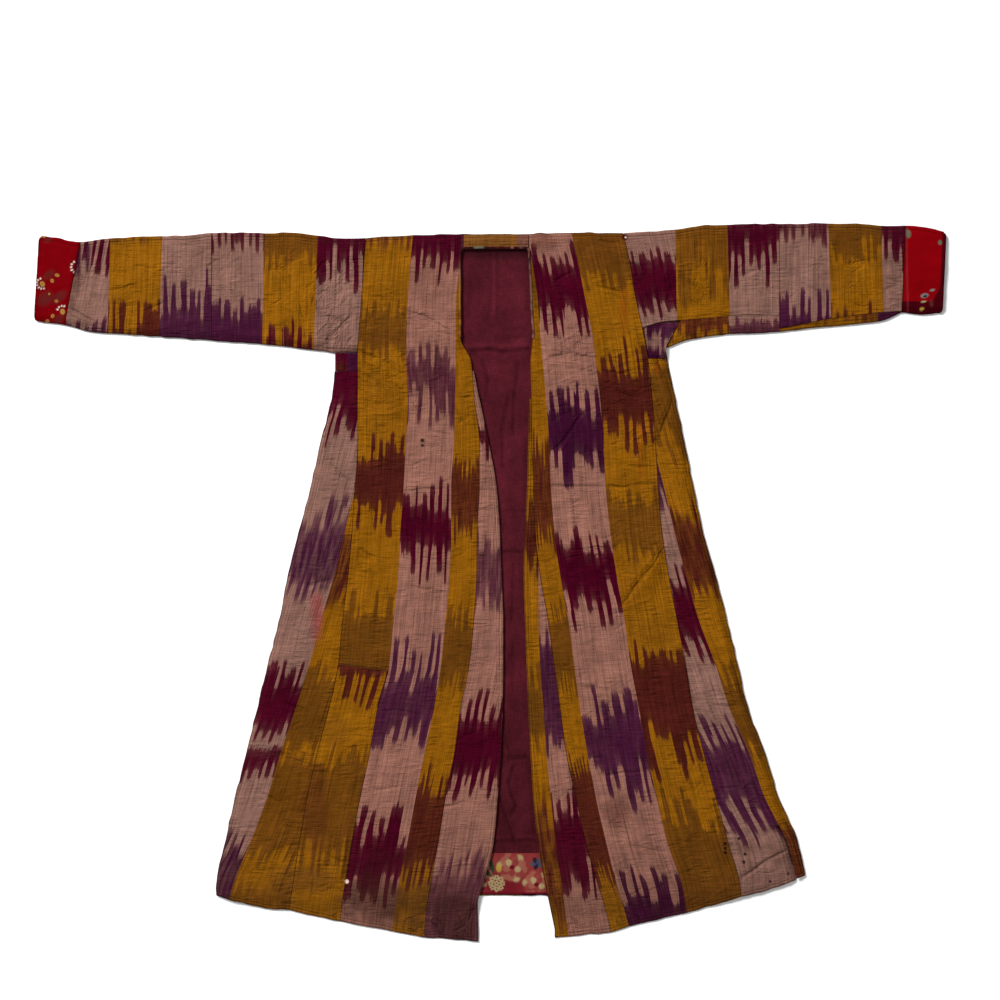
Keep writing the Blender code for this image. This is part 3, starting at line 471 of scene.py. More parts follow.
def mix(low, high, share):
    """From low to high by a share."""
    return low + (high - low) * share


def smooth(t):
    """Eased from 0 to 1, and level outside them."""
    t = np.clip(t, 0.0, 1.0)
    return t * t * (3.0 - 2.0 * t)


LATTICE = 64            # the noise repeats after this many of its cells


def noise(x, y, scale_x, scale_y, seed):
    """Smooth value noise from -1 to 1, the same each run."""
    lattice = np.random.default_rng(seed).uniform(-1.0, 1.0, (LATTICE, LATTICE))
    across = np.asarray(x, float) / scale_x + 1000.0
    down = np.asarray(y, float) / scale_y + 1000.0
    i, j = np.floor(across).astype(int), np.floor(down).astype(int)
    left, right = i % LATTICE, (i + 1) % LATTICE
    top, bottom = j % LATTICE, (j + 1) % LATTICE
    share = smooth(across - i)
    above = mix(lattice[left, top], lattice[right, top], share)
    below = mix(lattice[left, bottom], lattice[right, bottom], share)
    return mix(above, below, smooth(down - j))


# ---- the body's lines --------------------
# Near the neck these stripe lines run past the neck edge and stop at it.
STOPPED_LINES = {"rib_b": ("slit_l", np.minimum), "rib_c": ("slit_r", np.maximum)}
BACK_STRIPE = 93.0      # width of a woven stripe across the back
BACK_MIDDLE = 9.0       # middle of the back's centre stripe
BACK_LINES = tuple(f"back_{k}" for k in (-4, -3, -2, -1, 1, 2, 3, 4))


def line_x(name, drop):
    """The x of one of the body's lines at a drop. A number is an upright line."""
    drop = np.asarray(drop, float)
    if not isinstance(name, str):
        return np.full(drop.shape, float(name))
    if name in BACK_LINES:
        number = int(name.split("_")[1])
        step = number - math.copysign(0.5, number)
        spread = BACK_STRIPE + 0.004 * drop
        return np.clip(BACK_MIDDLE + step * spread, line_x("seam_l", drop), line_x("seam_r", drop))
    if name in SLANT_LINES:
        host, rows = SLANT_LINES[name]
        own = curve([row[0] for row in rows], [row[1] for row in rows], drop)
        return np.where(drop < rows[0][0], line_x(host, drop), own)
    column = 1 + LINE_NAMES.index(name)
    rows = [(row[0], row[column]) for row in SECTIONS if row[column] is not None]
    x = curve([row[0] for row in rows], [row[1] for row in rows], drop)
    if name in STOPPED_LINES:
        stop, keep = STOPPED_LINES[name]
        x = keep(x, line_x(stop, drop))
    return x


def warp_x(name, drop):
    """A line that the warp follows: a slanting line runs straight on above its start."""
    if name not in SLANT_LINES:
        return line_x(name, drop)
    rows = SLANT_LINES[name][1]
    slope = (rows[1][1] - rows[0][1]) / (rows[1][0] - rows[0][0])
    above = rows[0][1] + slope * (np.asarray(drop, float) - rows[0][0])
    return np.where(np.asarray(drop) < rows[0][0], above, line_x(name, drop))


def line_drop(name, level):
    """The drop at which a level, named or a number, crosses a line."""
    if not isinstance(level, str):
        return float(level)
    if name in LINE_ENDS:
        return float(dict(zip(END_COLUMNS, LINE_ENDS[name]))[level])
    drops = [line_drop(known, level) for known in LINE_NAMES]
    crossed = [float(line_x(known, drop)) for known, drop in zip(LINE_NAMES, drops)]
    return float(np.interp(line_x(name, float(np.mean(drops))), crossed, drops))


HEM_X = [float(line_x(name, line_drop(name, "back_hem"))) for name in LINE_NAMES]
HEM_DROP = [line_drop(name, "back_hem") for name in LINE_NAMES]


# ---- relief --------------------
def beside(line, x, drop, reach):
    """Which points lie within reach of a line, and how far along and across it they are."""
    x1, drop1, x2, drop2 = line
    run_x, run_drop = x2 - x1, drop2 - drop1
    run = math.hypot(run_x, run_drop)
    near = (np.abs(x - 0.5 * (x1 + x2)) < 0.5 * abs(run_x) + reach)
    near &= np.abs(drop - 0.5 * (drop1 + drop2)) < 0.5 * abs(run_drop) + reach
    near = np.nonzero(near)
    from_x = x[near] - x1
    from_drop = drop[near] - drop1
    along = (from_x * run_x + from_drop * run_drop) / run
    across = (from_x * run_drop - from_drop * run_x) / run
    return near, along, across, run


RIDGE_REACH = 3.2       # a ridge is felt this many half widths away


def ridges(x, drop, rows, joined):
    """Soft ridges and troughs along the rows' lines, joined by np.maximum or np.add."""
    total = np.zeros(np.shape(x))
    for *line, half_width, height in rows:
        near, along, across, run = beside(line, x, drop, RIDGE_REACH * half_width)
        beyond = np.maximum(0.0, np.maximum(-along, along - run))
        distance = np.hypot(across, beyond)
        total[near] = joined(total[near], height * np.exp(-(distance / half_width) ** 2))
    return total


def pressed(x, drop):
    """The creases' heights: sharp troughs and softer ridges."""
    return ridges(x, drop, SHARP_CREASES, np.add)


def small_creases():
    """The short creases of wear scattered over CRINKLED, as rows of CREASES."""
    chance = np.random.default_rng(CRINKLE_SEED)
    rows = []
    for x, drop, half_x, half_drop, count, slant, turn, length, height in CRINKLED:
        for _ in range(count):
            at_x = x + half_x * chance.uniform(-1.0, 1.0)
            at_drop = drop + half_drop * chance.uniform(-1.0, 1.0)
            angle = math.radians(slant + turn * chance.uniform(-1.0, 1.0))
            half = 0.5 * length * chance.uniform(0.6, 1.5)
            run_x, run_drop = half * math.cos(angle), half * math.sin(angle)
            rise = height * chance.uniform(0.5, 1.2) * chance.choice([-1.0, -1.0, 0.8])
            rows.append((at_x - run_x, at_drop - run_drop, at_x + run_x, at_drop + run_drop, 3.0, rise))
    return rows


def nearest_crease(x, drop):
    """Each point's distance across its nearest crease, and how strong that crease is there."""
    nearest = np.full(np.shape(x), CREASE_REACH)
    strength = np.zeros(np.shape(x))
    wander = 3.4 * (noise(x, drop, 24.0, 24.0, 41) - 0.5)
    for *line, _, height in (*small_creases(), *CREASES):
        near, along, across, run = beside(line, x, drop, CREASE_REACH)
        across = across + wander[near]
        taper = np.clip(np.minimum(along + 2.0, run + 2.0 - along) / (0.25 * run + 2.0), 0.0, 1.0)
        closer = (np.abs(across) < np.abs(nearest[near])) & (taper > 0.0)
        chosen = tuple(axis[closer] for axis in near)
        nearest[chosen] = across[closer]
        strength[chosen] = np.clip(height, -1.4, 1.4) * taper[closer]
    return nearest, strength


def waves(x, drop):
    """The slow waves that the CAD part's top layer has."""
    first = np.sin(x / WAVE_X + 0.9) * np.cos(drop / WAVE_Y + 0.3)
    second = np.sin((x + drop) / (WAVE_X + WAVE_Y) + 2.1)
    return WAVE_HEIGHT * (0.5 + 0.3 * first + 0.2 * second)


LOFT = 1.5              # how far the top layer lies clear, for creases to sink into
CRUMPLES = (
    # scale across, scale down, height, seed
    (70.0, 46.0, 0.70, 11), (34.0, 20.0, 0.72, 12), (20.0, 12.0, 0.46, 13),
    (13.0, 30.0, 0.22, 14),
)


def crumple(x, drop):
    """The small unevenness of worn cloth."""
    bend = 9.0 * noise(x, drop, 60.0, 60.0, 5)
    return sum(height * noise(x + bend, drop - bend, across, down, seed)
               for across, down, height, seed in CRUMPLES)


def relief(x, drop):
    """What the folds, creases and crumples add to the top layer's height."""
    folded = waves(x, drop) + ridges(x, drop, FOLDS, np.maximum)
    return np.maximum(0.0, folded + LOFT + pressed(x, drop) + crumple(x, drop))


# ---- grids --------------------
CELL = 3.6
# Finer stations near a side of each kind, as distances from it.
FINE = {
    "seam": (0.35, 0.9, 1.9, 3.4),
    "crest": (0.8, 2.0, 3.2, 4.0, 4.6, 5.2, 6.0, 7.6),
    "side": (0.4, 1.0, 2.0, 3.6, 6.0, 9.0),
    "fold": (0.25, 0.7, 1.4, 2.3, 3.6, 5.4, 6.6, 7.4, 8.2, 9.2),
    "edge": tuple(0.45 * k for k in (1, 2, 4, 6, 8, 10, 12, 14, 16, 18, 20, 22, 24, 26, 28, 30, 32, 34)),
    "hem": (0.4, 0.9, 1.8, 3.0, 4.4, 5.4, 6.0, 6.6, 7.6, 9.4),
    "hidden": (0.5, 1.5),
}
# How the top surface meets a side: radius of the rounding, how far it falls there, depth
# and reach of the valley beside it, and the stitched lines' distances from it.
RIM_COLUMNS = ("radius", "fall", "dip", "reach", "stitched")
RIMS = {
    "seam": (0.9, 0.6, 0.40, 3.2, (2.6,)),
    "side": (3.2, 1.5, 0.0, 1.0, ()),
    "fold": (2.8, 2.6, 0.0, 1.0, (7.4,)),
    "edge": (1.0, 0.9, -0.35, 15.0, (2.7, 6.1, 9.4, 12.9)),
    "hem": (1.0, 0.9, -0.2, 8.0, (6.0,)),
    "hidden": (0.6, 0.4, 0.0, 1.0, ()),
}
STITCH_DEPTH = 0.42
STITCH_HALF = 0.75      # half the width of the groove along a stitched line
PUCKER_HEIGHT = 0.38
PUCKER_LENGTH = 9.0
PUCKER_REACH = 11.0
FAR = 1e6


def stations(length, cell, first=(), last=()):
    """Positions from 0 to length, about a cell apart and finer near the two ends."""
    low = [d for d in first if d < 0.4 * length]
    high = [length - d for d in last if d < 0.4 * length]
    start = low[-1] if low else 0.0
    end = high[-1] if high else length
    count = max(1, math.ceil((end - start) / cell))
    return np.unique(np.concatenate(([0.0], low, np.linspace(start, end, count + 1), high, [length])))


def laid_out(widths, first, last, cell):
    """Stations over widths laid end to end: which width each is in, and its share of it."""
    found = []
    for k, width in enumerate(widths):
        at_start = FINE[first] if k == 0 else ()
        at_end = FINE[last] if k == len(widths) - 1 else ()
        shares = stations(width, cell, at_start, at_end) / width
        found += [(k, share) for share in (shares if k == len(widths) - 1 else shares[:-1])]
    return np.array([k for k, _ in found]), np.array([share for _, share in found])


def share_across(x):
    """Each point's share of the way from its row's first point to its last."""
    return (x - x[:, :1]) / (x[:, -1:] - x[:, :1])


def inset(x, sides):
    """The x of a piece's points, drawn in a little from its seams."""
    left, right = (SEAM_INSET if sides[side] == "seam" else 0.0 for side in ("left", "right"))
    across = share_across(x)
    return x + left * (1.0 - across) - right * across


SAG_REACH = 60.0        # a hem sags over this length above it


def body_grid(lines, levels, sides, cell=CELL, sag=0.0):
    """Points of a panel between lines of the body, from its first level to its last.

    sides names the kinds of its left, right, top and bottom. Gives x and drop of each
    point, the stripe of each column of cells and the level span of each row of cells.
    """
    ends = np.array([[line_drop(name, level) for level in levels] for name in lines])
    middle = np.linspace(ends[0, 0], ends[-1, -1], 60)
    widths = np.diff([line_x(name, middle) for name in lines], axis=0).max(axis=1)
    stripe, share = laid_out(widths, sides["left"], sides["right"], cell)
    span, down = laid_out(np.diff(ends, axis=1).max(axis=0), sides["top"], sides["bottom"], cell)
    drops = mix(ends[:, span], ends[:, span + 1], down)
    crossed = np.stack([line_x(name, drop) for name, drop in zip(lines, drops)])
    x = mix(crossed[stripe], crossed[stripe + 1], share[:, None]).T
    drop = mix(drops[stripe], drops[stripe + 1], share[:, None]).T
    across = share_across(x)
    lowest = np.clip((drop - drop[-1:] + SAG_REACH) / SAG_REACH, 0.0, 1.0)
    drop = drop + 4.0 * sag * across * (1.0 - across) * lowest
    x = inset(x, sides)
    distances = {"left": x - x[:, :1], "right": x[:, -1:] - x,
                 "top": drop - drop[:1], "bottom": drop[-1:] - drop}
    x, drop = wavered(x, drop, distances, sides)
    return {"x": x, "drop": drop, "lines": lines, "sides": sides, "stripe": stripe[:-1], "span": span[:-1]}


WAVER = 1.0             # how far a worn edge strays
WAVER_LENGTH = 15.0
WAVER_REACH = 14.0


def wavered(x, drop, distances, sides):
    """The points with the slight waviness that worn edges have."""
    for side, kind in sides.items():
        if kind not in ("side", "fold", "hem"):
            continue
        near = 1.0 - smooth(distances[side] / WAVER_REACH)
        if side in ("left", "right"):
            x = x + WAVER * near * noise(drop, 0.0, WAVER_LENGTH, 1.0, 41)
        else:
            drop = drop + WAVER * near * noise(x, 0.0, WAVER_LENGTH, 1.0, 42)
    return x, drop


def rim_distances(grid, cells):
    """Distance of each point from the sides of the part of a grid that is there."""
    x, drop = grid["x"], grid["drop"]
    rows, columns = x.shape
    there = np.zeros((rows, columns), bool)
    for a, b in ((0, 0), (0, 1), (1, 0), (1, 1)):
        there[a:rows - 1 + a, b:columns - 1 + b] |= cells
    first, last = np.argmax(there, axis=1), columns - 1 - np.argmax(there[:, ::-1], axis=1)
    top, bottom = np.argmax(there, axis=0), rows - 1 - np.argmax(there[::-1], axis=0)
    along, across = np.arange(rows), np.arange(columns)
    return {"left": x - x[along, first][:, None], "right": x[along, last][:, None] - x,
            "top": drop - drop[top, across], "bottom": drop[bottom, across] - drop}


def rim_profile(distances, sides, x, drop):
    """What a piece's sides do to its surface, and where each point lies beside them.

    Gives how far the surface falls, how deep its valleys are, and the distances from the
    nearest seam and from the nearest turned edge.
    """
    fall, valley = np.zeros(x.shape), np.zeros(x.shape)
    seam, turned = np.full(x.shape, FAR), np.full(x.shape, FAR)
    for order, side in enumerate(("left", "right", "top", "bottom")):
        kind = sides[side]
        if kind not in RIMS:
            continue
        rim = dict(zip(RIM_COLUMNS, RIMS[kind]))
        distance = np.maximum(0.0, distances[side])
        t = np.clip(distance / rim["radius"], 0.0, 1.0)
        fall = np.maximum(fall, rim["fall"] * (1.0 - np.sqrt(np.maximum(0.0, 1.0 - (1.0 - t) ** 2))))
        valley = valley + rim["dip"] * np.exp(-(distance / rim["reach"]) ** 2)
        for line in rim["stitched"]:
            valley = valley + STITCH_DEPTH * np.exp(-((distance - line) / STITCH_HALF) ** 2)
        if kind in ("seam", "edge", "hem"):
            along = drop if side in ("left", "right") else x
            gathers = noise(along, distance, PUCKER_LENGTH, 40.0, 20 + order)
            valley = valley + PUCKER_HEIGHT * gathers * np.exp(-(distance / PUCKER_REACH) ** 2)
        if kind == "seam":
            seam = np.minimum(seam, distance)
        else:
            turned = np.minimum(turned, distance)
    return fall, valley, seam, turned


SHELL = 1.6             # thickness of the shown cloth
THINNEST = 0.25         # and where it is thinnest
LOWEST = 0.02           # the top layer stays this clear of the floor
SHOWN_FALL = 36.0       # length over which the fronts sink past the back's hem


def top_surfaces(grid, cells, clear_hem=True, settle=("side", "fold")):
    """A top-layer piece's upper and lower points."""
    x, drop = grid["x"], grid["drop"]
    distances = rim_distances(grid, cells)
    settling = [distances[side] for side, kind in grid["sides"].items() if kind in settle]
    near = np.minimum.reduce(settling) if settling else np.full(x.shape, FAR)
    under = mix(EDGE_BASE, FRONT_BASE + relief(x, drop), smooth(near / HEM_FALL))
    if clear_hem:
        past = (drop - np.interp(x, HEM_X, HEM_DROP) - CLEAR_OF_HEM) / SHOWN_FALL
        fallen = np.maximum(0.0, 0.6 + 0.5 * pressed(x, drop) + 0.6 * crumple(x, drop))
        under = mix(under, fallen, smooth(past))
    fall, valley, grid["seam"], grid["turned"] = rim_profile(distances, grid["sides"], x, drop)
    upper = under + WALL - valley - fall
    lower = np.minimum(under + WALL - SHELL - 0.5 * valley, upper - THINNEST)
    return place(x, drop, upper), place(x, drop, np.maximum(lower, LOWEST))


def back_relief(x, drop, valley, fall):
    """How far the side of the back that lies on the floor rises clear of it."""
    troughs = np.clip(-pressed(-x, drop) + crumple(-x, drop) - 0.3, 0.0, 0.6)
    return np.clip(0.3 * valley, 0.0, 0.4) + 0.6 * fall + troughs


def back_surfaces(grid, cells):
    """A back piece's points on its shown side, which lies on the floor, and on its inner side."""
    x, drop = grid["x"], grid["drop"]
    distances = rim_distances(grid, cells)
    fall, valley, grid["seam"], grid["turned"] = rim_profile(distances, grid["sides"], x, drop)
    shown = back_relief(x, drop, valley, fall)
    return place(x, drop, shown), place(x, drop, np.maximum(SHELL, shown + THINNEST))


# ---- meshes --------------------
def place(x, drop, height):
    """Points of the robe, from millimetres to the world's metres."""
    points = np.stack(np.broadcast_arrays(x + MIDDLE_X, SHOULDER_Y - drop, height), axis=-1)
    return points * MM


SHARP_FROM = 60.0       # degrees between faces from which an edge looks sharp


def cell_faces(cells, points_per_side):
    """Faces of a closed shell over a grid's cells: corners, their cell and their point."""
    rows, columns = cells.shape
    i, j = np.nonzero(cells)
    wide = columns + 1
    corners = np.stack([i * wide + j, (i + 1) * wide + j, (i + 1) * wide + j + 1, i * wide + j + 1], axis=1)
    faces = [corners, corners[:, ::-1] + points_per_side]
    owners = [i * columns + j, i * columns + j]
    padded = np.pad(cells, 1)
    for side, (di, dj) in enumerate(((0, -1), (1, 0), (0, 1), (-1, 0))):
        open_side = ~padded[i + 1 + di, j + 1 + dj]
        start = corners[open_side, side]
        end = corners[open_side, (side + 1) % 4]
        faces.append(np.stack([end, start, start + points_per_side, end + points_per_side], axis=1))
        owners.append((i * columns + j)[open_side])
    return np.concatenate(faces), np.concatenate(owners)


def shell(name, outer, inner, cells, values):
    """A closed thin shell over a grid, with values given to each face's corners.

    values gives arrays for (cell, point): one row of numbers for each corner.
    """
    count = outer.shape[0] * outer.shape[1]
    faces, owners = cell_faces(cells, count)
    points = np.concatenate([outer.reshape(-1, 3), inner.reshape(-1, 3)])
    used, index = np.unique(np.round(points, 7), axis=0, return_inverse=True)
    loops = index.reshape(-1)[faces]
    keep = loops != np.roll(loops, -1, axis=1)
    keep &= (keep.sum(axis=1) >= 3)[:, None]
    sizes = keep.sum(axis=1)
    sizes = sizes[sizes > 0]
    corner_cell = np.broadcast_to(owners[:, None], faces.shape)[keep]
    corner_point = (faces % count)[keep]
    kept, vertices = np.unique(loops[keep], return_inverse=True)
    mesh = bpy.data.meshes.new(name)
    mesh.vertices.add(len(kept))
    mesh.vertices.foreach_set("co", used[kept].astype(np.float32).ravel())
    mesh.loops.add(len(vertices))
    mesh.loops.foreach_set("vertex_index", vertices.astype(np.int32).ravel())
    mesh.polygons.add(len(sizes))
    mesh.polygons.foreach_set("loop_start", np.concatenate(([0], np.cumsum(sizes)[:-1])).astype(np.int32))
    mesh.update(calc_edges=True)
    for title, rows in values(corner_cell, corner_point).items():
        attribute = mesh.attributes.new(title, "FLOAT_VECTOR", "CORNER")
        attribute.data.foreach_set("vector", rows.astype(np.float32).ravel())
    mesh.validate()
    if signed_volume(mesh) < 0.0:
        mesh.flip_normals()
    mesh.shade_smooth()
    mesh.set_sharp_from_angle(angle=math.radians(SHARP_FROM))
    made = bpy.data.objects.new(name, mesh)
    bpy.context.scene.collection.objects.link(made)
    return made


def signed_volume(mesh):
    """Positive when the faces point out."""
    mesh.calc_loop_triangles()
    corners = np.empty(len(mesh.loop_triangles) * 3, np.int32)
    mesh.loop_triangles.foreach_get("vertices", corners)
    points = np.empty(len(mesh.vertices) * 3)
    mesh.vertices.foreach_get("co", points)
    a, b, c = points.reshape(-1, 3)[corners.reshape(-1, 3)].transpose(1, 0, 2)
    return float(np.einsum("ij,ij->i", a, np.cross(b, c)).sum())


# ---- what the ikat's material needs at each corner --------------------
EXPOSURE = 1.5          # what the studio's light gives a white surface


def linear(name):
    """A dye's linear colour, lightened by the studio's exposure."""
    share = np.array(DYES[name]) / 255.0
    low = share / 12.92
    high = ((share + 0.055) / 1.055) ** 2.4
    return np.where(share <= 0.04045, low, high) / EXPOSURE


def band_of(stripe, warp):
    """A stripe's ground and number, its bands, and which band each place along it belongs to."""
    ground, rows = STRIPES[stripe]
    bands = [dict(zip(BAND_COLUMNS, row)) for row in rows]
    cuts = []
    for before, after in zip(bands[:-1], bands[1:]):
        fingers = before["down"] + after["up"]
        cuts.append(mix(before["end"], after["start"], before["down"] / fingers))
    return ground, list(STRIPES).index(stripe), bands, np.searchsorted(cuts, warp)


def dyed(x, drop, ground, dye):
    """Ground and dye colours once the hem's soiling, the stains and the painted shadow at the left cuff are
    on them.
    """
    soil_and_shadow = SOIL_SHARE * smooth((drop - SOIL_START) / (SOIL_FULL - SOIL_START))
    soil_and_shadow = soil_and_shadow * (0.75 + 0.5 * noise(x, drop, 46.0, 34.0, 31))
    soil_and_shadow = soil_and_shadow + 0.10 * smooth(noise(x, drop, 90.0, 120.0, 32) - 0.2)
    soil_and_shadow = np.clip(soil_and_shadow, 0.0, 0.8)[:, None]
    ground = mix(ground, linear("soil_and_shadow"), soil_and_shadow)
    dye = mix(dye, linear("soil_and_shadow"), 0.7 * soil_and_shadow)
    for at_x, at_drop, across, down, colour, strength in STAINS_AND_SHADOWS:
        distance = np.hypot((x - at_x) / across, (drop - at_drop) / down)
        distance = distance + 0.25 * noise(x, drop, 14.0, 14.0, 33)
        share = (strength * (1.0 - smooth((distance - 0.5) / 0.7)))[:, None]
        ground = mix(ground, linear(colour), share)
        dye = mix(dye, linear(colour), 0.6 * share)
    return ground, dye


def cell_middles(points):
    """The mean of each cell's four corners."""
    return 0.25 * (points[:-1, :-1] + points[1:, :-1] + points[:-1, 1:] + points[1:, 1:])


RIM_FAR = 200.0         # distances from a rim are told up to here


def ikat_values(grid, stripes, warp, across):
    """Gives shell() the attributes of an ikat piece.

    stripes names the stripe of each cell, warp is each point's place along the warp and
    across holds, for each stripe, each point's place across it.
    """
    names = np.array(stripes).ravel()
    middles = cell_middles(warp).ravel()
    warp = warp.ravel()
    x, drop, seam, turned = (grid[key].ravel() for key in ("x", "drop", "seam", "turned"))
    nearest, strength = nearest_crease(x, drop)

    def values(cell, point):
        made = {title: np.zeros((len(cell), 3))
                for title in ("above", "below", "ground", "dye", "thread", "rim", "crease")}
        made["crease"][:, :2] = np.stack((nearest[point], strength[point]), axis=1)
        made["rim"][:, :2] = np.minimum(np.stack((seam[point], turned[point]), axis=1), RIM_FAR)
        for stripe in np.unique(names):
            mine = np.nonzero(names[cell] == stripe)[0]
            at = point[mine]
            base, number, bands, chosen = band_of(stripe, middles[cell[mine]])
            start, end, up, down, weak = (np.array([band[key] for band in bands])[chosen]
                                          for key in ("start", "end", "up", "down", "weak"))
            v = warp[at]
            seed = number * 40.0 + chosen * 2.0
            made["above"][mine] = np.stack([v - start, up, seed], axis=1)
            made["below"][mine] = np.stack([end - v, down, seed + 1.0], axis=1)
            made["thread"][mine] = np.stack([across[stripe].ravel()[at], v, 0.0 * v + number], axis=1)
            made["rim"][mine, 2] = weak
            dye = np.array([linear(band["dye"]) for band in bands])[chosen]
            made["ground"][mine], made["dye"][mine] = dyed(x[at], drop[at], linear(base) + 0.0 * dye, dye)
        return made
    return values


# ---- materials --------------------
class Value:
    """A number, vector or colour in a material: formulas on it make the nodes."""

    def __init__(self, nodes, socket):
        self.nodes = nodes
        self.socket = socket

    def __add__(self, other):
        return self.nodes.math("ADD", self, other)

    def __sub__(self, other):
        return self.nodes.math("SUBTRACT", self, other)

    def __rsub__(self, other):
        return self.nodes.math("SUBTRACT", other, self)

    def __mul__(self, other):
        return self.nodes.math("MULTIPLY", self, other)

    __radd__ = __add__
    __rmul__ = __mul__

    def span(self, low, high, start=0.0, end=1.0, kind="SMOOTHSTEP"):
        """Eased from start to end as the value goes from low to high."""
        limits = {"Value": self, "From Min": low, "From Max": high, "To Min": start, "To Max": end}
        return self.nodes.make("MapRange", limits, "Result", interpolation_type=kind)

    def line(self, low, high, start, end):
        """Straight from start to end as the value goes from low to high."""
        return self.span(low, high, start, end, "LINEAR")

    def spread(self, start, end):
        """Straight from start to end over the values that a noise mostly has."""
        return self.line(0.3, 0.7, start, end)


class Nodes:
    """A material's node tree."""

    def __init__(self, name):
        self.material = bpy.data.materials.new(name)
        self.material.use_nodes = True
        self.tree = self.material.node_tree
        self.shader = self.tree.nodes["Principled BSDF"]

    def set(self, node, name, value):
        """Give an input a value, or link it to another node's output."""
        if isinstance(value, Value):
            self.tree.links.new(value.socket, node.inputs[name])
        else:
            node.inputs[name].default_value = value

    def make(self, kind, inputs, output=0, **settings):
        """An output of a new node."""
        node = self.tree.nodes.new("ShaderNode" + kind)
        for name, value in settings.items():
            setattr(node, name, value)
        for name, value in inputs.items():
            self.set(node, name, value)
        return Value(self, node.outputs[output])

    def math(self, operation, first, second=0.0, clamp=False):
        return self.make("Math", {0: first, 1: second}, operation=operation, use_clamp=clamp)

    def lerp(self, share, low, high):
        return self.make("Mix", {"Factor": share, 2: low, 3: high}, data_type="FLOAT")

    def blend(self, share, first, second):
        """A colour between two others."""
        return self.make("Mix", {"Factor": share, 6: first, 7: second}, 2, data_type="RGBA")

    def scale(self, colour, factor):
        return self.make("VectorMath", {0: colour, "Scale": factor}, operation="SCALE")

    def attribute(self, name, output):
        return self.make("Attribute", {}, output, attribute_name=name, attribute_type="GEOMETRY")

    def split(self, vector):
        return [self.make("SeparateXYZ", {0: vector}, axis) for axis in range(3)]

    def parts(self, name):
        """The three numbers of a corner attribute."""
        return self.split(self.attribute(name, "Vector"))

    def here(self):
        """The point's x, y and z on the object, in metres."""
        return self.split(self.make("TexCoord", {}, "Object"))

    def noise(self, at, across, down, detail=2.0, rough=0.5):
        """Noise of a size across and down, at an x and y of one of its layers."""
        x, y, layer = at
        point = self.make("CombineXYZ", {0: x * (1.0 / across), 1: y * (1.0 / down), 2: layer})
        sizes = {"Vector": point, "Scale": 1.0, "Detail": detail, "Roughness": rough}
        return self.make("TexNoise", sizes, "Fac")

    def finish(self, colour, roughness, specular):
        """Give the surface its looks."""
        looks = {"Base Color": colour, "Roughness": roughness, "Specular IOR Level": specular}
        for name, value in looks.items():
            self.set(self.shader, name, value)
        return self.material

    def bump(self, height, strength, distance):
        """Bump, in metres of height."""
        inputs = {"Strength": strength, "Distance": distance, "Height": height}
        self.set(self.shader, "Normal", self.make("Bump", inputs, "Normal"))


TURNED_ABOVE = 0.86     # a draw over this swaps a finger and a gap
BUNDLE_TAPER = 22.0     # how far a bundle's middle reaches beyond its sides
WARP_STRAYS = ((26.0, 240.0, 4.4), (9.0, 150.0, 2.4), (2.5, 30.0, 0.35))    # across, down, how far


def finger_share(shader, end, bundle, fuzz, taper):
    """How dyed a point is, as seen from one end of its band.

    Every other bundle is a finger of dye that reaches out of the band, and those between
    are gaps that reach into it.
    """
    inside, length, seed = shader.parts(end)
    place_of = shader.make("CombineXYZ", {0: bundle, 1: shader.math("ROUND", seed)})
    draws = shader.make("TexWhiteNoise", {"Vector": place_of}, "Color", noise_dimensions="3D")
    reach_draw, turn_draw, _ = shader.split(draws)
    turned = shader.math("GREATER_THAN", turn_draw, TURNED_ABOVE)
    finger = shader.math("MODULO", bundle + turned, 2.0)
    out = reach_draw.line(0.0, 1.0, 0.30, 1.0)
    back = reach_draw.line(0.0, 1.0, -0.42, 0.12)
    reach = shader.lerp(finger, back, out) * length
    return inside + reach + fuzz + taper * finger.line(0.0, 1.0, 1.0, -1.0)


def bundles(shader, at):
    """The number of the tied bundle of warp at a point, and how pointed its tip is there."""
    u, _, stripe = at
    slow, near, frayed = (shader.noise(at, across, down).spread(-most, most)
                          for across, down, most in WARP_STRAYS)
    place_of = (u + (slow + near + frayed)) * (1.0 / FINGER) + stripe * 22.0 + 400.0
    number = shader.math("FLOOR", place_of)
    from_middle = shader.math("ABSOLUTE", place_of - number - 0.5)
    return number, from_middle * from_middle * BUNDLE_TAPER


CREASE_BUMP = 0.62
FRONT_SIDE = (0.0026, 0.0027)   # between these heights the back's cloth gives way to the front's
FINE_GRAIN = (1.1, 24.0, 3.0)   # the finest noise: size across, size down, detail
CLOTH_SHEEN = 0.01
QUILT_HALF = 22.0       # half the distance between the lines of stitches that hold the lining
QUILT_START = 9.0
DASH_HALF = 3.0         # half the length of one of those stitches with its gap
# The colour of stitches, and the painted shade of the cloth beside seams and turned edges and in pleats.
STITCH_SHADE = (0.045, 0.010, 0.006, 1.0)
SEAM_SHADE = (0.010, 0.004, 0.003, 1.0)
TURNED_SHADE = (0.020, 0.008, 0.006, 1.0)
PLEAT_SHADE = (0.020, 0.007, 0.004, 1.0)


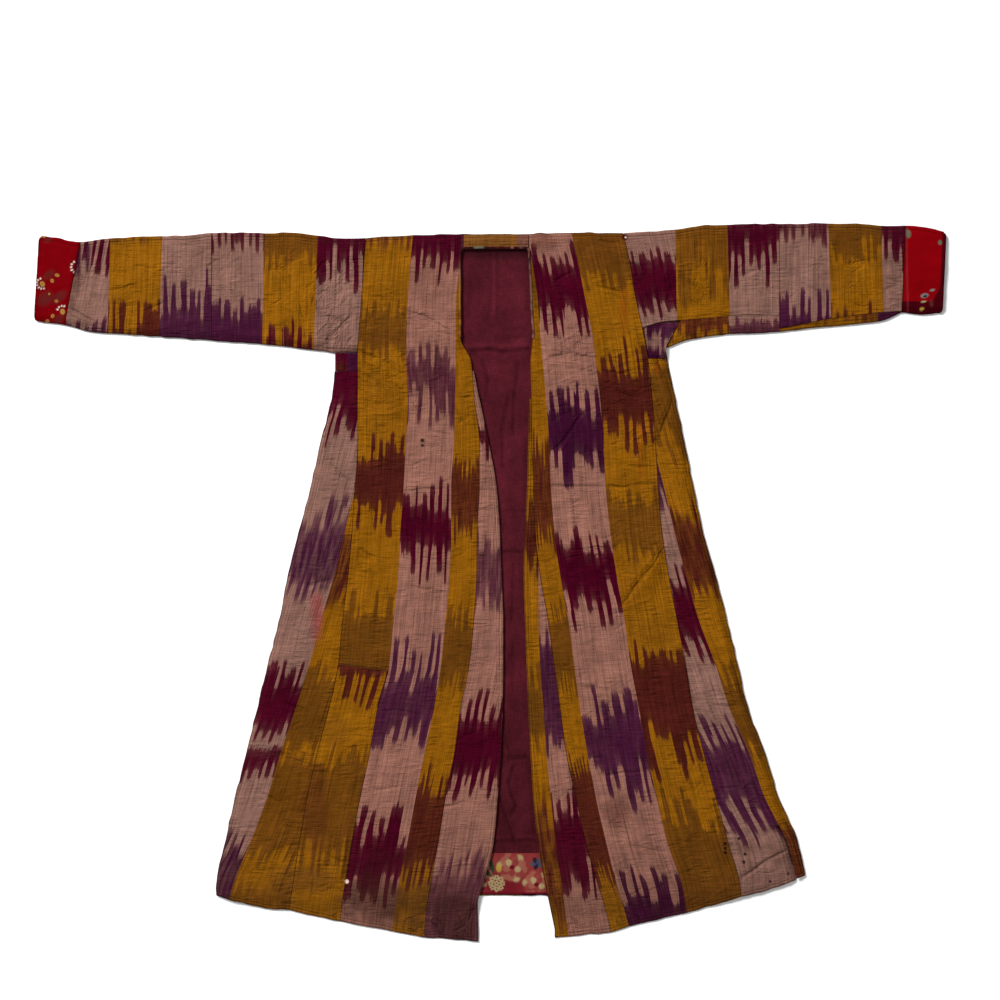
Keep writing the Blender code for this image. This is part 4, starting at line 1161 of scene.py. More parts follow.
def woven(shader, colour, at):
    """The cloth's colour with its threads, ribs, slubs and uneven dye, and the weave's height."""
    u, v, stripe = at
    warp = shader.noise(at, 2.4, 150.0, 2.5, 0.6)
    weft = shader.noise(at, 30.0, 2.0, 2.5, 0.6)
    grain = shader.noise(at, 1.5, 1.9, 2.0, 0.7)
    bath = shader.noise(at, 40.0, 70.0, 3.0)
    for value, uneven in ((warp, 0.28), (weft, 0.13), (grain, 0.24), (bath, 0.14)):
        colour = shader.scale(colour, value.spread(1.0 - uneven, 1.0 + uneven))
    rib = shader.noise((u, v, stripe + 0.5), 2.3, 60.0, 1.0)
    thread = shader.noise((u, v, stripe + 0.3), 34.0, 2.2, 1.0)
    colour = shader.scale(colour, rib.span(0.60, 0.70, 1.0, 0.76))
    colour = shader.scale(colour, thread.span(0.62, 0.73, 1.0, 1.20))
    return colour, weft * 0.3 + warp * 0.5 + thread * 0.4


def wrinkled(shader, colour, height, seam):
    """The cloth's colour and height with its soft wrinkles, and puckers by the seams."""
    x, y, z = shader.here()
    side = z.span(*FRONT_SIDE, 7.0, 0.0)
    at = (x, y, side)
    soft = shader.noise(at, 0.032, 0.020)
    pucker = shader.noise(at, 0.026, 0.0055, 1.5)
    where = shader.noise((x, y, side + 2.0), 0.045, 0.06).span(0.50, 0.66)
    where = shader.math("MAXIMUM", where, seam.span(2.0, 26.0, 0.8, 0.0))
    # Random darker patches of wear.
    wear_and_rim_shade = shader.noise(at, 0.016, 0.02, 4.0, 0.65)
    colour = shader.scale(colour, wear_and_rim_shade.span(0.52, 0.72, 1.0, 0.84))
    return colour, height + (pucker - 0.5) * where * 2.4 + soft * 1.9


def creased(shader, colour, height):
    """The cloth's colour and height with the middle lines of its creases, their troughs darkened as painted
    shade with a little dirt and their ridges lightened as painted highlight.
    """
    across, strength, _ = shader.parts("crease")
    core = shader.math("ABSOLUTE", across).span(0.0, 4.4, 1.0, 0.0) * strength
    # Painted shade in the crease troughs, painted highlight on the ridges.
    colour = shader.scale(colour, core.line(-1.25, 1.25, 0.86, 1.12))
    return colour, height + core * CREASE_BUMP


def banded(shader, at, weak):
    """The ground with its bands of dye, whose ends are fingers."""
    bundle, taper = bundles(shader, at)
    fuzz = shader.noise(at, *FINE_GRAIN).spread(-5.5, 5.5)
    ends = [finger_share(shader, end, bundle, fuzz, taper) for end in ("above", "below")]
    inside = shader.math("MINIMUM", *ends)
    solid = shader.math("DIVIDE", inside, weak * 26.0 + 3.0).span(-1.0, 1.0)
    bleed = inside.span(-15.0, 6.0, 0.0, 0.14)
    wash = shader.noise(at, 6.0, 60.0, 3.0).span(0.35, 0.68)
    share = shader.math("MULTIPLY", shader.math("MAXIMUM", solid, bleed), 1.0 - wash * weak, clamp=True)
    ground = shader.attribute("ground", "Color")
    young = inside.span(0.0, 30.0, 0.10, 0.0)
    dye = shader.blend(young, shader.attribute("dye", "Color"), ground)
    return shader.blend(share, ground, dye)


def quilted(shader, colour, at):
    """The colour with the lines of stitches that hold the lining, and the stitches themselves."""
    u, v, _ = at
    row = shader.math("PINGPONG", u + QUILT_START, QUILT_HALF).span(0.5, 1.2, 1.0, 0.0)
    dash = row * shader.math("PINGPONG", v, DASH_HALF).span(0.9, 1.7)
    dash = dash * shader.noise(at, 40.0, 80.0).span(0.46, 0.60) * 0.36
    return shader.blend(dash, colour, STITCH_SHADE), dash


def shaded_rims(shader, colour, at, seam, turned):
    """The colour with painted shade beside seams and turned edges and in the pleats beside them, and the
    pleats.
    """
    uneven = shader.noise(at, 30.0, 12.0).span(0.35, 0.65, 0.5, 1.0)
    # Painted shade beside seams and turned edges.
    colour = shader.blend(seam.span(0.0, 2.0, 0.34, 0.0) * uneven, colour, SEAM_SHADE)
    colour = shader.blend(turned.span(0.0, 4.5, 0.45, 0.0) * uneven, colour, TURNED_SHADE)
    # Painted shade in the pleat folds.
    pleat = shader.math("PINGPONG", turned + 1.0, 2.6).span(1.7, 2.6)
    pleat = pleat * turned.span(11.0, 13.0, 0.42, 0.0) * uneven
    return shader.blend(pleat, colour, PLEAT_SHADE), pleat


def ikat_material():
    """The ikat: dyed bands, weave, wrinkles, creases, stitches, rims and marks."""
    shader = Nodes("ikat_adras")
    u, v, stripe = shader.parts("thread")
    at = (u, v, shader.math("ROUND", stripe))
    seam, turned, weak = shader.parts("rim")
    colour, height = woven(shader, banded(shader, at, weak), at)
    colour, height = wrinkled(shader, colour, height, seam)
    colour, height = creased(shader, colour, height)
    colour, dash = quilted(shader, colour, at)
    colour, pleat = shaded_rims(shader, colour, at, seam, turned)
    shader.bump(height - pleat - dash, 1.0, 0.0017)
    colour = spotted(shader, colour)
    roughness = shader.noise(at, *FINE_GRAIN).spread(0.60, 0.76)
    return shader.finish(colour, roughness, CLOTH_SHEEN)


def spotted(shader, colour):
    """The cloth's colour with the small marks and holes of its front."""
    x, y, z = shader.here()
    flat = shader.make("CombineXYZ", {0: x, 1: y})
    front = z.span(*FRONT_SIDE)
    for x_mm, drop, radius, dye in SPOTS:
        spot = Vector(((x_mm + MIDDLE_X) * MM, (SHOULDER_Y - drop) * MM, 0.0))
        apart = shader.make("VectorMath", {0: flat, 1: spot}, "Value", operation="DISTANCE")
        share = apart.span(0.6 * radius * MM, 1.5 * radius * MM, 0.9, 0.0)
        colour = shader.blend(share * front, colour, (*linear(dye), 1.0))
    return colour


def plain_cloth(name, fine, roughness, bump, contrast=0.10):
    """Cotton: an even weave over the corners' paint."""
    shader = Nodes(name)
    x, y, _ = shader.here()
    across = shader.noise((x, y, 0.0), fine, 9.0 * fine, 3.0, 0.6)
    down = shader.noise((x, y, 5.0), 9.0 * fine, fine, 3.0, 0.6)
    slow = shader.noise((x, y, 9.0), 0.05, 0.07, 4.0, 0.6)
    colour = shader.attribute("paint", "Color")
    for value, size in ((across, contrast), (down, contrast), (slow, 1.2 * contrast)):
        colour = shader.scale(colour, value.spread(1.0 - size, 1.0 + size))
    shader.bump(across + down, 0.5, bump)
    return shader.finish(colour, down.span(0.3, 0.7, roughness - 0.08, roughness + 0.08), CLOTH_SHEEN)


def materials():
    """Every slot's material."""
    prints = {"floral_print": "floral_cotton", "red_print": "red_print_cotton", "binding": "binding_cotton"}
    made = {slot: plain_cloth(name, 0.0011, 0.72, 0.0004) for slot, name in prints.items()}
    lining = plain_cloth("maroon_cotton", 0.0016, 0.80, 0.0010, contrast=0.22)
    return {"ikat": ikat_material(), "lining": lining, **made}


# ---- dressing --------------------
def cut_area(grid, cells):
    """Flat area of a piece's cut, in square metres."""
    across = np.diff(grid["x"], axis=1)
    down = np.diff(grid.get("path", grid["drop"]), axis=0)
    areas = 0.25 * (across[:-1] + across[1:]) * np.abs(down[:, :-1] + down[:, 1:])
    return float((areas * cells).sum()) * MM * MM


def whole(grid):
    """All of a grid's cells."""
    return np.ones(np.subtract(grid["x"].shape, 1), bool)


def striped(grid, stripes):
    """The name of each cell's stripe."""
    return np.broadcast_to(np.array(stripes)[grid["stripe"]], whole(grid).shape)


def dress(name, slot_name, grid, surfaces, values, flat, cells=None, area=None):
    """Make a piece that stands for the CAD node of its name, from its outer and inner points."""
    cells = whole(grid) if cells is None else cells
    made = shell(name + "_cloth", *surfaces, cells, values)
    made.data.materials.append(MATERIALS[slot_name])
    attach(made, "root")
    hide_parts(name)
    area = min(area or cut_area(grid, cells), flat[0] * flat[1])


STRIPE_WIDE = 90.0      # what any stripe counts as wide, across its warp
ANCHORED = 200.0        # the place across the warp of a line that all stripes follow


def warp_across(grid, stripes, anchor=None):
    """Each stripe's places across the warp, from its left line, or from one that all follow."""
    if anchor is not None:
        return dict.fromkeys(stripes, grid["x"] - warp_x(anchor, grid["drop"]) + ANCHORED)
    edges = [line_x(name, grid["drop"]) for name in grid["lines"]]
    return {stripe: (grid["x"] - left) / np.maximum(1.0, right - left) * STRIPE_WIDE
            for stripe, left, right in zip(stripes, edges[:-1], edges[1:])}


def dress_body(name, lines, stripes, levels, sides, flat, anchor=None, left_out=None, sag=0.0):
    """A piece of the top layer. left_out is a (stripe, level span) that another one covers."""
    grid = body_grid(lines, levels, sides, sag=sag)
    cells = whole(grid)
    if left_out:
        cells[np.ix_(grid["span"] == left_out[1], grid["stripe"] == left_out[0])] = False
    surfaces = top_surfaces(grid, cells)
    across = warp_across(grid, stripes, anchor)
    values = ikat_values(grid, striped(grid, stripes), grid["drop"], across)
    dress(name, "ikat", grid, surfaces, values, flat, cells=cells)


BACK_CELL = 2.1 * CELL
RISE_REACH = 60.0       # the rows move up over this length below a risen first row
BACK_SHIFT = 46.0       # the back's bands sit this much lower in the warp than the front's
BACK_STRIPES = ("gore_l_inner", "strip_4", "strip_1", "strip_2", "right_1", "right_2", "right_3",
                "gore_r_inner", "gore_r_outer")


def dress_back(name, lines, stripes, levels, sides, flat, rise=0.0):
    """A piece of the back. Its first row rises outward by rise."""
    grid = body_grid(lines, levels, sides, cell=BACK_CELL)
    near_top = np.clip(1.0 - (grid["drop"] - grid["drop"][:1]) / RISE_REACH, 0.0, 1.0)
    risen = 2.0 * GAP * (rise > 0.0) - rise * share_across(grid["x"])
    grid["drop"] = grid["drop"] + near_top * risen
    surfaces = back_surfaces(grid, whole(grid))
    values = ikat_values(grid, striped(grid, stripes), grid["drop"] + BACK_SHIFT, warp_across(grid, stripes))
    dress(name, "ikat", grid, surfaces, values, flat)


def dress_bodies():
    """The fronts, their joined-on piece, and the gores beside them."""
    plain = {"left": "seam", "right": "seam", "top": "fold", "bottom": "hem"}
    dress_body("front_left", ("seam_l", "rib_a", "rib_b", "slit_l"), ("strip_1", "strip_2", "strip_3"),
               ("top", "join", "front_hem"), plain, (0.25, 1.27), left_out=(0, 1))
    dress_body("front_left_piece", ("seam_l", "rib_a"), ("strip_1_piece",), ("join", "front_hem"),
               {**plain, "top": "seam"}, (0.095, 0.455))
    dress_body("front_right", ("slit_r", "rib_c", "rib_d", "seam_r"), ("right_1", "right_2", "right_3"),
               ("top", "front_hem"), plain, (0.235, 1.26))
    dress_body("front_gore_left", ("slit_l", "open_l"), ("strip_4",), (250, "front_hem"),
               {**plain, "right": "edge", "top": "hidden"}, (0.1, 1.03), anchor="slit_l")
    dress_body("front_gore_right", ("open_r", "stripe_h", "slit_r"), ("edge_strip", "front_wedge"),
               (300, "front_hem"), {**plain, "left": "edge", "top": "hidden"}, (0.102, 0.975),
               anchor="stripe_h")
    lines = ("side_l", "stripe_g", "seam_l")
    stripes = ("gore_l_outer", "gore_l_inner")
    left = {**plain, "left": "side", "top": "seam"}
    dress_body("side_gore_left", lines, stripes, (250, "gore"), {**left, "bottom": "seam"}, (0.129, 0.70),
               anchor="stripe_g")
    dress_body("side_gore_left_piece", lines, stripes, ("gore", "front_hem"), left, (0.14, 0.275),
               anchor="stripe_g", sag=HEM_SAG)
    right = {**plain, "right": "side", "top": "seam"}
    dress_body("side_gore_right", ("seam_r", "stripe_e", "side_r"), ("gore_r_inner", "gore_r_outer"),
               (228, "tip", "front_hem"), right, (0.126, 0.96), anchor="stripe_e", left_out=(1, 1),
               sag=HEM_SAG)
    dress_body("side_gore_right_piece", ("stripe_e", "side_r"), ("gore_r_outer",),
               ("tip", "front_hem"), {**right, "left": "seam"}, (0.026, 0.095), anchor="stripe_e")


def dress_backs():
    """The back and its two side gores."""
    sides = {"left": "seam", "right": "seam", "top": "fold", "bottom": "hem"}
    dress_back("back_panel", ("seam_l", *BACK_LINES, "seam_r"), BACK_STRIPES, ("top", "back_hem"), sides,
               (0.81, 1.19))
    dress_back("back_gore_left", ("side_l", "seam_l"), ("gore_l_outer",), (250, "back_hem"),
               {**sides, "left": "side", "top": "seam"}, (0.14, 0.95))
    dress_back("back_gore_right", ("seam_r", "side_r"), ("gore_r_inner",), (228, "back_hem"),
               {**sides, "right": "side", "top": "seam"}, (0.126, 0.97), rise=RIGHT_GORE_RISE)


# ---- sleeves --------------------
FOLD_RADIUS = 0.5 * (FRONT_BASE + WALL)
FOLD_HOLLOW = FOLD_RADIUS - SHELL
FOLD_STEPS = 9
FOLD_ANGLES = np.linspace(0.5 * math.pi, -0.5 * math.pi, FOLD_STEPS)[1:-1, None]
FLATTEN = 12.0          # relief dies away over this distance from a sleeve's fold
FLAT_TURN = 0.999       # a folded piece's rows that have turned further lie flat
FOLD_STITCH = 7.4       # the stitched line beside a fold, from the outline
NOMINAL = 200.0         # a length round half a sleeve, to place its rows by
CUFF_WIDEST = 100.0     # a shorter stretch of sleeve than this is a cuff
CORNER = 9.0            # radius of the cuffs' corners
PRINT_CELL = 2.0
CUFF_MIRROR = 150.0     # the cuff's back shows its print the other way up


def along_table(table, by, wanted, at):
    """A sleeve table's value where its column by has the value at."""
    pairs = sorted((row[SLEEVE_COLUMNS.index(by)], row[SLEEVE_COLUMNS.index(wanted)]) for row in table)
    return curve([pair[0] for pair in pairs], [pair[1] for pair in pairs], at)


def sleeve_ends(table, line):
    """Where a line across a sleeve ends, as (x at top, x at bottom)."""
    if not isinstance(line, str):
        return line
    nearest = min(table, key=lambda row: abs(row[0] - float(line_x(line, 0.0))))
    return nearest[0], nearest[2]


def sleeve_line(table, line, drop):
    """The x at a drop of a line across a sleeve, a body line or (x at top, x at bottom)."""
    if isinstance(line, str):
        return line_x(line, drop)
    top = along_table(table, "top_x", "top", line[0])
    bottom = along_table(table, "bottom_x", "bottom", line[1])
    return mix(line[0], line[1], (drop - top) / (bottom - top))


def over_fold(ahead, behind):
    """The sine and cosine of how far each row of a folded piece has turned."""
    turn = np.concatenate((np.ones((ahead, 1)), np.sin(FOLD_ANGLES), -np.ones((behind, 1))))
    reach = np.concatenate((np.zeros((ahead, 1)), np.cos(FOLD_ANGLES), np.zeros((behind, 1))))
    return turn, reach


def sleeve_rows(table, ends, sides, cell):
    """Drops of a sleeve's rows, their ways round it, and how many rows are before and behind."""
    top_x, bottom_x = ends
    top = along_table(table, "top_x", "top", top_x) + WAVER * noise(top_x, 0.0, WAVER_LENGTH, 1.0, 42)
    stray = WAVER * noise(bottom_x, 3.0, WAVER_LENGTH, 1.0, 43)
    bottom = along_table(table, "bottom_x", "bottom", bottom_x) + stray
    front = along_table(table, "bottom_x", "front", bottom_x) + stray * (sides["top"] == "side")
    fold = top + FOLD_RADIUS
    shares = stations(NOMINAL, cell, FINE[sides["top"]], FINE["crest"])[:, None] / NOMINAL
    ahead = mix(front, fold, shares)
    shares = stations(NOMINAL, 1.5 * cell, (), FINE["side"])[:, None] / NOMINAL
    behind = mix(fold, bottom, shares)
    drop = np.concatenate((ahead, fold + 0.0 * FOLD_ANGLES, behind))
    path = np.concatenate((front - ahead, front - fold + FOLD_RADIUS * (0.5 * math.pi - FOLD_ANGLES),
                           front - fold + (FOLD_RADIUS * math.pi + behind - fold)))
    return drop, path, len(ahead), len(behind)


def sleeve_grid(table, lines, sides, cell=CELL):
    """Points round a flattened sleeve, from its front's lower end over the fold to its back's.

    turn is 1 on the front, -1 on the back and the sine of the angle round the fold.
    """
    ends = np.array([sleeve_ends(table, line) for line in lines], float)
    widths = np.diff(ends, axis=0).max(axis=1)
    stripe, share = laid_out(widths, sides["left"], sides["right"], cell)
    column_ends = mix(ends[stripe], ends[stripe + 1], share[:, None]).T
    drop, path, ahead, behind = sleeve_rows(table, column_ends, sides, cell)
    crossed = np.stack([sleeve_line(table, line, drop) for line in lines])
    column = np.arange(len(stripe))
    x = mix(crossed[stripe, :, column], crossed[stripe + 1, :, column], share[:, None]).T
    turn, reach = over_fold(ahead, behind)
    grid = {"x": inset(x, sides), "drop": drop, "turn": turn + 0.0 * x, "reach": reach + 0.0 * x,
            "path": path, "sides": sides, "lines": lines, "stripe": stripe[:-1], "folds_at": ahead - 1}
    if sum(widths) < CUFF_WIDEST:
        grid["x"] = rounded_ends(grid)
    return grid


def rounded_ends(grid):
    """The x of a cuff's points, with its outer corners drawn in."""
    x = grid["x"]
    outer = 0 if x[0, 0] < 0.0 else -1
    near = np.minimum(grid["path"], grid["path"][-1:] - grid["path"])
    from_top = np.abs(grid["drop"] - grid["drop"].min(axis=0, keepdims=True))
    near = np.minimum(near, 1.4 * from_top)
    t = np.clip(near / CORNER, 0.0, 1.0)
    drawn = CORNER * (1.0 - np.sqrt(1.0 - (1.0 - t) ** 2))
    inside = np.abs(x - x[:, outer][:, None])
    toward = 1.0 if outer == 0 else -1.0
    return x + 0.5 * toward * drawn * (1.0 - smooth(inside / (2.5 * CORNER)))


def sleeve_surfaces(grid):
    """A sleeve's outer and inner points."""
    x, drop, turn, path = (grid[key] for key in ("x", "drop", "turn", "path"))
    distances = {"left": x - x[:, :1], "right": x[:, -1:] - x, "top": path, "bottom": path[-1:] - path}
    fall, valley, grid["seam"], turned = rim_profile(distances, grid["sides"], x, drop)
    from_fold = np.maximum(0.0, drop - drop[grid["folds_at"]][None, :])
    from_stitch = np.abs(from_fold + FOLD_RADIUS - FOLD_STITCH)
    grid["turned"] = np.minimum(turned, from_stitch + 1.5)
    groove = STITCH_DEPTH * np.exp(-(from_stitch / STITCH_HALF) ** 2)
    flatter = smooth(from_fold / FLATTEN)
    resting = FRONT_BASE + relief(x, drop) * flatter
    if grid["sides"]["top"] == "side":
        resting = mix(EDGE_BASE, resting, smooth(path / HEM_FALL))
    front = resting + WALL - valley - fall - groove
    front_inside = np.minimum(front - THINNEST, resting + WALL - SHELL - 0.5 * valley)
    back = back_relief(x, drop, valley, fall) * flatter
    back_inside = np.maximum(back + THINNEST, SHELL)
    flat = [turn > FLAT_TURN, turn < -FLAT_TURN]
    outer = np.select(flat, [front, back], FOLD_RADIUS * (1.0 + turn))
    inner = np.select(flat, [front_inside, back_inside], FOLD_RADIUS + FOLD_HOLLOW * turn)
    return (place(x, drop - FOLD_RADIUS * grid["reach"], outer),
            place(x, drop - FOLD_HOLLOW * grid["reach"], inner))


def dress_sleeve(name, table, lines, stripes, sides, flat):
    """A width of a sleeve: ikat, its warp running round the arm."""
    grid = sleeve_grid(table, lines, sides)
    surfaces = sleeve_surfaces(grid)
    across = {stripe: grid["x"] - sleeve_line(table, line, grid["drop"])
              for line, stripe in zip(lines, stripes)}
    values = ikat_values(grid, striped(grid, stripes), grid["drop"], across)
    dress(name, "ikat", grid, surfaces, values, flat)


def painted(paint):
    """Gives shell() a printed piece's colour at each point."""
    def values(cell, point):
        return {"paint": paint[point]}
    return values


def dress_cuff(name, table, lines, sides, flat, motifs):
    """A cuff: printed red cotton, painted at each point, with painted shade along its turned edges and
    seams.
    """
    grid = sleeve_grid(table, lines, sides, cell=PRINT_CELL)
    surfaces = sleeve_surfaces(grid)
    down = np.where(grid["turn"] < 0.0, CUFF_MIRROR - grid["drop"], grid["drop"])
    # Painted shade: the print darkens within 4.5 mm of the cuff's turned edges and seams.
    near = np.minimum(grid["turned"], grid["seam"]).ravel()
    wear_and_rim_shade = 1.0 - 0.45 * (1.0 - smooth(near / 4.5))
    paint = motifs(grid["x"], down) * wear_and_rim_shade[:, None]
    dress(name, "red_print", grid, surfaces, painted(paint), flat)


def dress_sleeves():
    """Both sleeves and their cuffs."""
    left = {"left": "seam", "right": "seam", "top": "side", "bottom": "side"}
    dress_sleeve("sleeve_left_upper", LEFT_SLEEVE, ((-503, -503), (-407, -412), (-311, -318), "seam_l"),
                 ("sleeve_c", "sleeve_b", "sleeve_a"), left, (0.28, 0.42))
    dress_sleeve("sleeve_left_lower", LEFT_SLEEVE, ((-740, -768), (-686, -691), (-592, -597), (-503, -503)),
                 ("sleeve_e", "sleeve_d", "sleeve_c_end"), left, (0.265, 0.385))
    dress_cuff("cuff_left", LEFT_SLEEVE, ((-815, -824), (-740, -768)), {**left, "left": "hem"},
               (0.08, 0.32), left_print)
    right = {**left, "top": "seam"}
    dress_sleeve("sleeve_right_upper", RIGHT_SLEEVE, ("seam_r", (335, 338), (429, 434), (523, 523)),
                 ("sleeve_f", "sleeve_g", "sleeve_h"), right, (0.283, 0.39))
    dress_sleeve("sleeve_right_lower", RIGHT_LOWER_SLEEVE,
                 ((523, 523), (611, 617), (707, 711), (751, 744)),
                 ("sleeve_i", "sleeve_j", "sleeve_k"), right, (0.23, 0.37))
    dress_cuff("cuff_right", RIGHT_CUFF, ((751, 744), (825, 818)), {**left, "right": "hem"},
               (0.076, 0.325), right_print)


# ---- underarm strips and gussets --------------------
UNDERARM_START = (422, 0, 320, 208, 161)    # along the right gusset's outer edge


def strip_grid(table, sides, cell=CELL):
    """Points of a strip between a sleeve's front seam and its bottom edge."""
    length = float(abs(table[-1][2] - table[0][2]))
    places = (len(table) - 1) * stations(length, cell, FINE["seam"], FINE["seam"]) / length
    rows = np.array(table, float)
    at = {key: curve(np.arange(len(rows)), rows[:, k], places)[None, :]
          for k, key in enumerate(SLEEVE_COLUMNS)}
    shares = (stations(40.0, cell, FINE[sides["top"]], FINE[sides["bottom"]]) / 40.0)[:, None]
    drop = mix(at["front"] + GAP, at["bottom"], shares)
    x = mix(at["top_x"], at["bottom_x"], (drop - at["top"]) / (at["bottom"] - at["top"]))
    return {"x": x, "drop": drop, "sides": sides}


def dress_strip(name, grid, parted, stripes, flat):
    """A small piece of the top layer in two stripes, its warp running down."""
    surfaces = top_surfaces(grid, whole(grid), clear_hem=False, settle=("side",))
    names = np.where(cell_middles(grid["x"]) < parted, *stripes)
    values = ikat_values(grid, names, grid["drop"], dict.fromkeys(stripes, grid["x"] - 200.0))
    dress(name, "ikat", grid, surfaces, values, flat)


def right_gusset_grid(sides):
    """Points of the right gusset, from the side seam to its bowed outer edge."""
    rows = np.array(RIGHT_GUSSET)
    places = (len(rows) - 1) * stations(58.0, 2.4, FINE["seam"], FINE["seam"]) / 58.0
    seam_x, seam, out_x, out, bow = (curve(np.arange(len(rows)), column, places)[:, None]
                                     for column in rows.T)
    shares = (stations(50.0, 2.4, FINE["seam"], FINE["seam"]) / 50.0)[None, :]
    drop = mix(seam, out, shares) - 4.0 * bow * shares * (1.0 - shares)
    return {"x": mix(seam_x + 3.0 * SEAM_INSET, out_x, shares), "drop": drop, "sides": sides}


def dress_underarms():
    """The small pieces under the right arm."""
    sides = {"left": "seam", "right": "seam", "top": "seam", "bottom": "side"}
    upper = strip_grid((UNDERARM_START, *RIGHT_SLEEVE[2:]), sides)
    dress_strip("sleeve_right_underarm", upper, 432.0, ("underarm_a", "underarm_b"), (0.21, 0.052))
    lower = strip_grid(RIGHT_LOWER_SLEEVE, sides)
    dress_strip("sleeve_right_underarm_end", lower, 700.0, ("underarm_c", "underarm_d"), (0.225, 0.0215))
    dress_strip("gusset_right", right_gusset_grid({**sides, "bottom": "seam"}), 309.0,
                ("gusset", "gusset_edge"), (0.064, 0.062))


GUSSET_PARTED = -256.0  # the left gusset's two stripes meet here


def dress_gusset_left():
    """A small square folded double, its fold on the robe's outline."""
    low, high = LEFT_GUSSET_DROPS
    drop = stations(high - low, 3.0, FINE["seam"], FINE["side"])[None, :] + low
    seam_x = line_x("seam_l", drop) - 3.0 * SEAM_INSET
    fold_x = LEFT_GUSSET_X + FOLD_RADIUS
    front = mix(seam_x, fold_x, (stations(38.0, 3.0, FINE["seam"]) / 38.0)[:, None])
    x = np.concatenate((front, fold_x + 0.0 * (FOLD_ANGLES + seam_x), front[::-1]))
    turn, reach = over_fold(len(front), len(front))
    drop = np.broadcast_to(drop, x.shape)
    puffed = 0.35 * crumple(x, drop) * smooth((x - fold_x) / 9.0) * smooth((seam_x - x) / 6.0)
    upper = np.where(turn > 0.0, FRONT_BASE + WALL + puffed, 0.0)
    on_fold = np.abs(turn) < FLAT_TURN
    outer = mix(upper, FOLD_RADIUS * (1.0 + turn), on_fold)
    inner = mix(np.where(turn > 0.0, upper - SHELL, SHELL), FOLD_RADIUS + FOLD_HOLLOW * turn, on_fold)
    grid = {"x": x, "drop": drop, "seam": seam_x - x, "turned": drop[:, -1:] - drop}
    stripes = ("gusset_brown", "gusset_purple")
    names = np.where(cell_middles(x) < GUSSET_PARTED, *stripes)
    values = ikat_values(grid, names, drop, dict.fromkeys(stripes, x + 300.0))
    surfaces = (place(x - FOLD_RADIUS * reach, drop, outer), place(x - FOLD_HOLLOW * reach, drop, inner))
    dress("gusset_left", "ikat", grid, surfaces, values, (0.085, 0.033), area=0.085 * 0.032)


# ---- neck --------------------
BINDING_CUT = 10.0              # width of the strip, which has a turned edge on each side
BINDING_END = 190.0
PATH_STEP = 2.2


def dress_neck_turn():
    """The back's top edge, turned over the shoulder."""
    sides = {"left": "seam", "right": "seam", "top": "fold", "bottom": "hidden"}
    lines = (NECK_LEFT + SEAM_INSET, -47.5, 49.0, NECK_RIGHT - SEAM_INSET)
    dress_body("back_neck_turn", lines, ("neck_side", "neck_middle", "neck_edge"), (2.0, NECK_DROP), sides,
               (0.122, 0.028))


def neck_path():
    """Points of the neck's edge and the directions that lead from the hole onto the cloth."""
    corner = NECK_DROP + NECK_CORNER
    side = np.linspace(BINDING_END, corner, int((BINDING_END - corner) / PATH_STEP))[:-1]
    turn = np.radians(np.linspace(0.0, 90.0, 7))
    sine, cosine = np.sin(turn), np.cos(turn)
    across = np.linspace(NECK_LEFT + NECK_CORNER, NECK_RIGHT - NECK_CORNER, 46)[1:-1]
    flat = 0.0 * across
    ones = np.ones(len(side))
    stretches = (
        # x, drop and the direction of each stretch, from the left front round to the right one
        (line_x("slit_l", side), side, -ones, 0.0 * side),
        (NECK_LEFT + NECK_CORNER - NECK_CORNER * cosine, corner - NECK_CORNER * sine, -cosine, -sine),
        (across, flat + NECK_DROP, flat, flat - 1.0),
        (NECK_RIGHT - NECK_CORNER + NECK_CORNER * sine, corner - NECK_CORNER * cosine, sine, -cosine),
        (line_x("slit_r", side[::-1]), side[::-1], ones, 0.0 * side),
    )
    return tuple(np.concatenate(parts)[:, None] for parts in zip(*stretches))


def binding_paint(x, drop, shares):
    """Dark at the back of the neck, with a grey-green fleck, and paler down the fronts."""
    cloth = Print(x, drop, "maroon_deep")
    x, drop, shares = cloth.x, cloth.drop, shares.ravel()
    scraps = smooth((noise(x, drop, 5.0, 9.0, 64) - 0.35) / 0.25) * smooth((x + 10.0) / 30.0)
    down = smooth((drop - 44.0) / 24.0) * smooth((shares - 0.3) / 0.3)
    # The binding's own dark colour.
    cloth.lay("hole_and_shadow", np.full(len(x), 0.6))
    cloth.lay("rose", np.maximum(0.75 * smooth((0.3 - shares) / 0.2), 0.6 * scraps))
    cloth.lay("rose", 0.75 * down)
    cloth.lay("mustard", 0.8 * smooth((drop - 60.0) / 50.0) * (x < 0.0))
    cloth.lay("brown", 0.6 * smooth((noise(x, drop, 7.0, 9.0, 63) - 0.2) / 0.3))
    cloth.blot((-20.0, 27.0), (9.0, 4.0), 0.0, "sage", 0.9)
    return cloth.paint


BINDING_OUTER = (
    # reach from the neck's edge and height over the cloth, of the binding's outer face
    (-1.0, -2.6), (-1.0, -1.1), (-1.0, 0.3), (-0.6, 0.9), (0.3, 1.2), (1.3, 1.15), (2.3, 1.0),
    (3.1, 0.65), (3.4, 0.1),
)
BINDING_INNER = (
    # and of its inner face, which wraps the cloth's edge
    (-0.6, -2.6), (-0.6, -1.1), (-0.5, -0.05), (-0.3, -0.05), (0.4, -0.05), (1.3, -0.05), (2.3, -0.05),
    (3.0, -0.05), (3.3, -0.05),
)


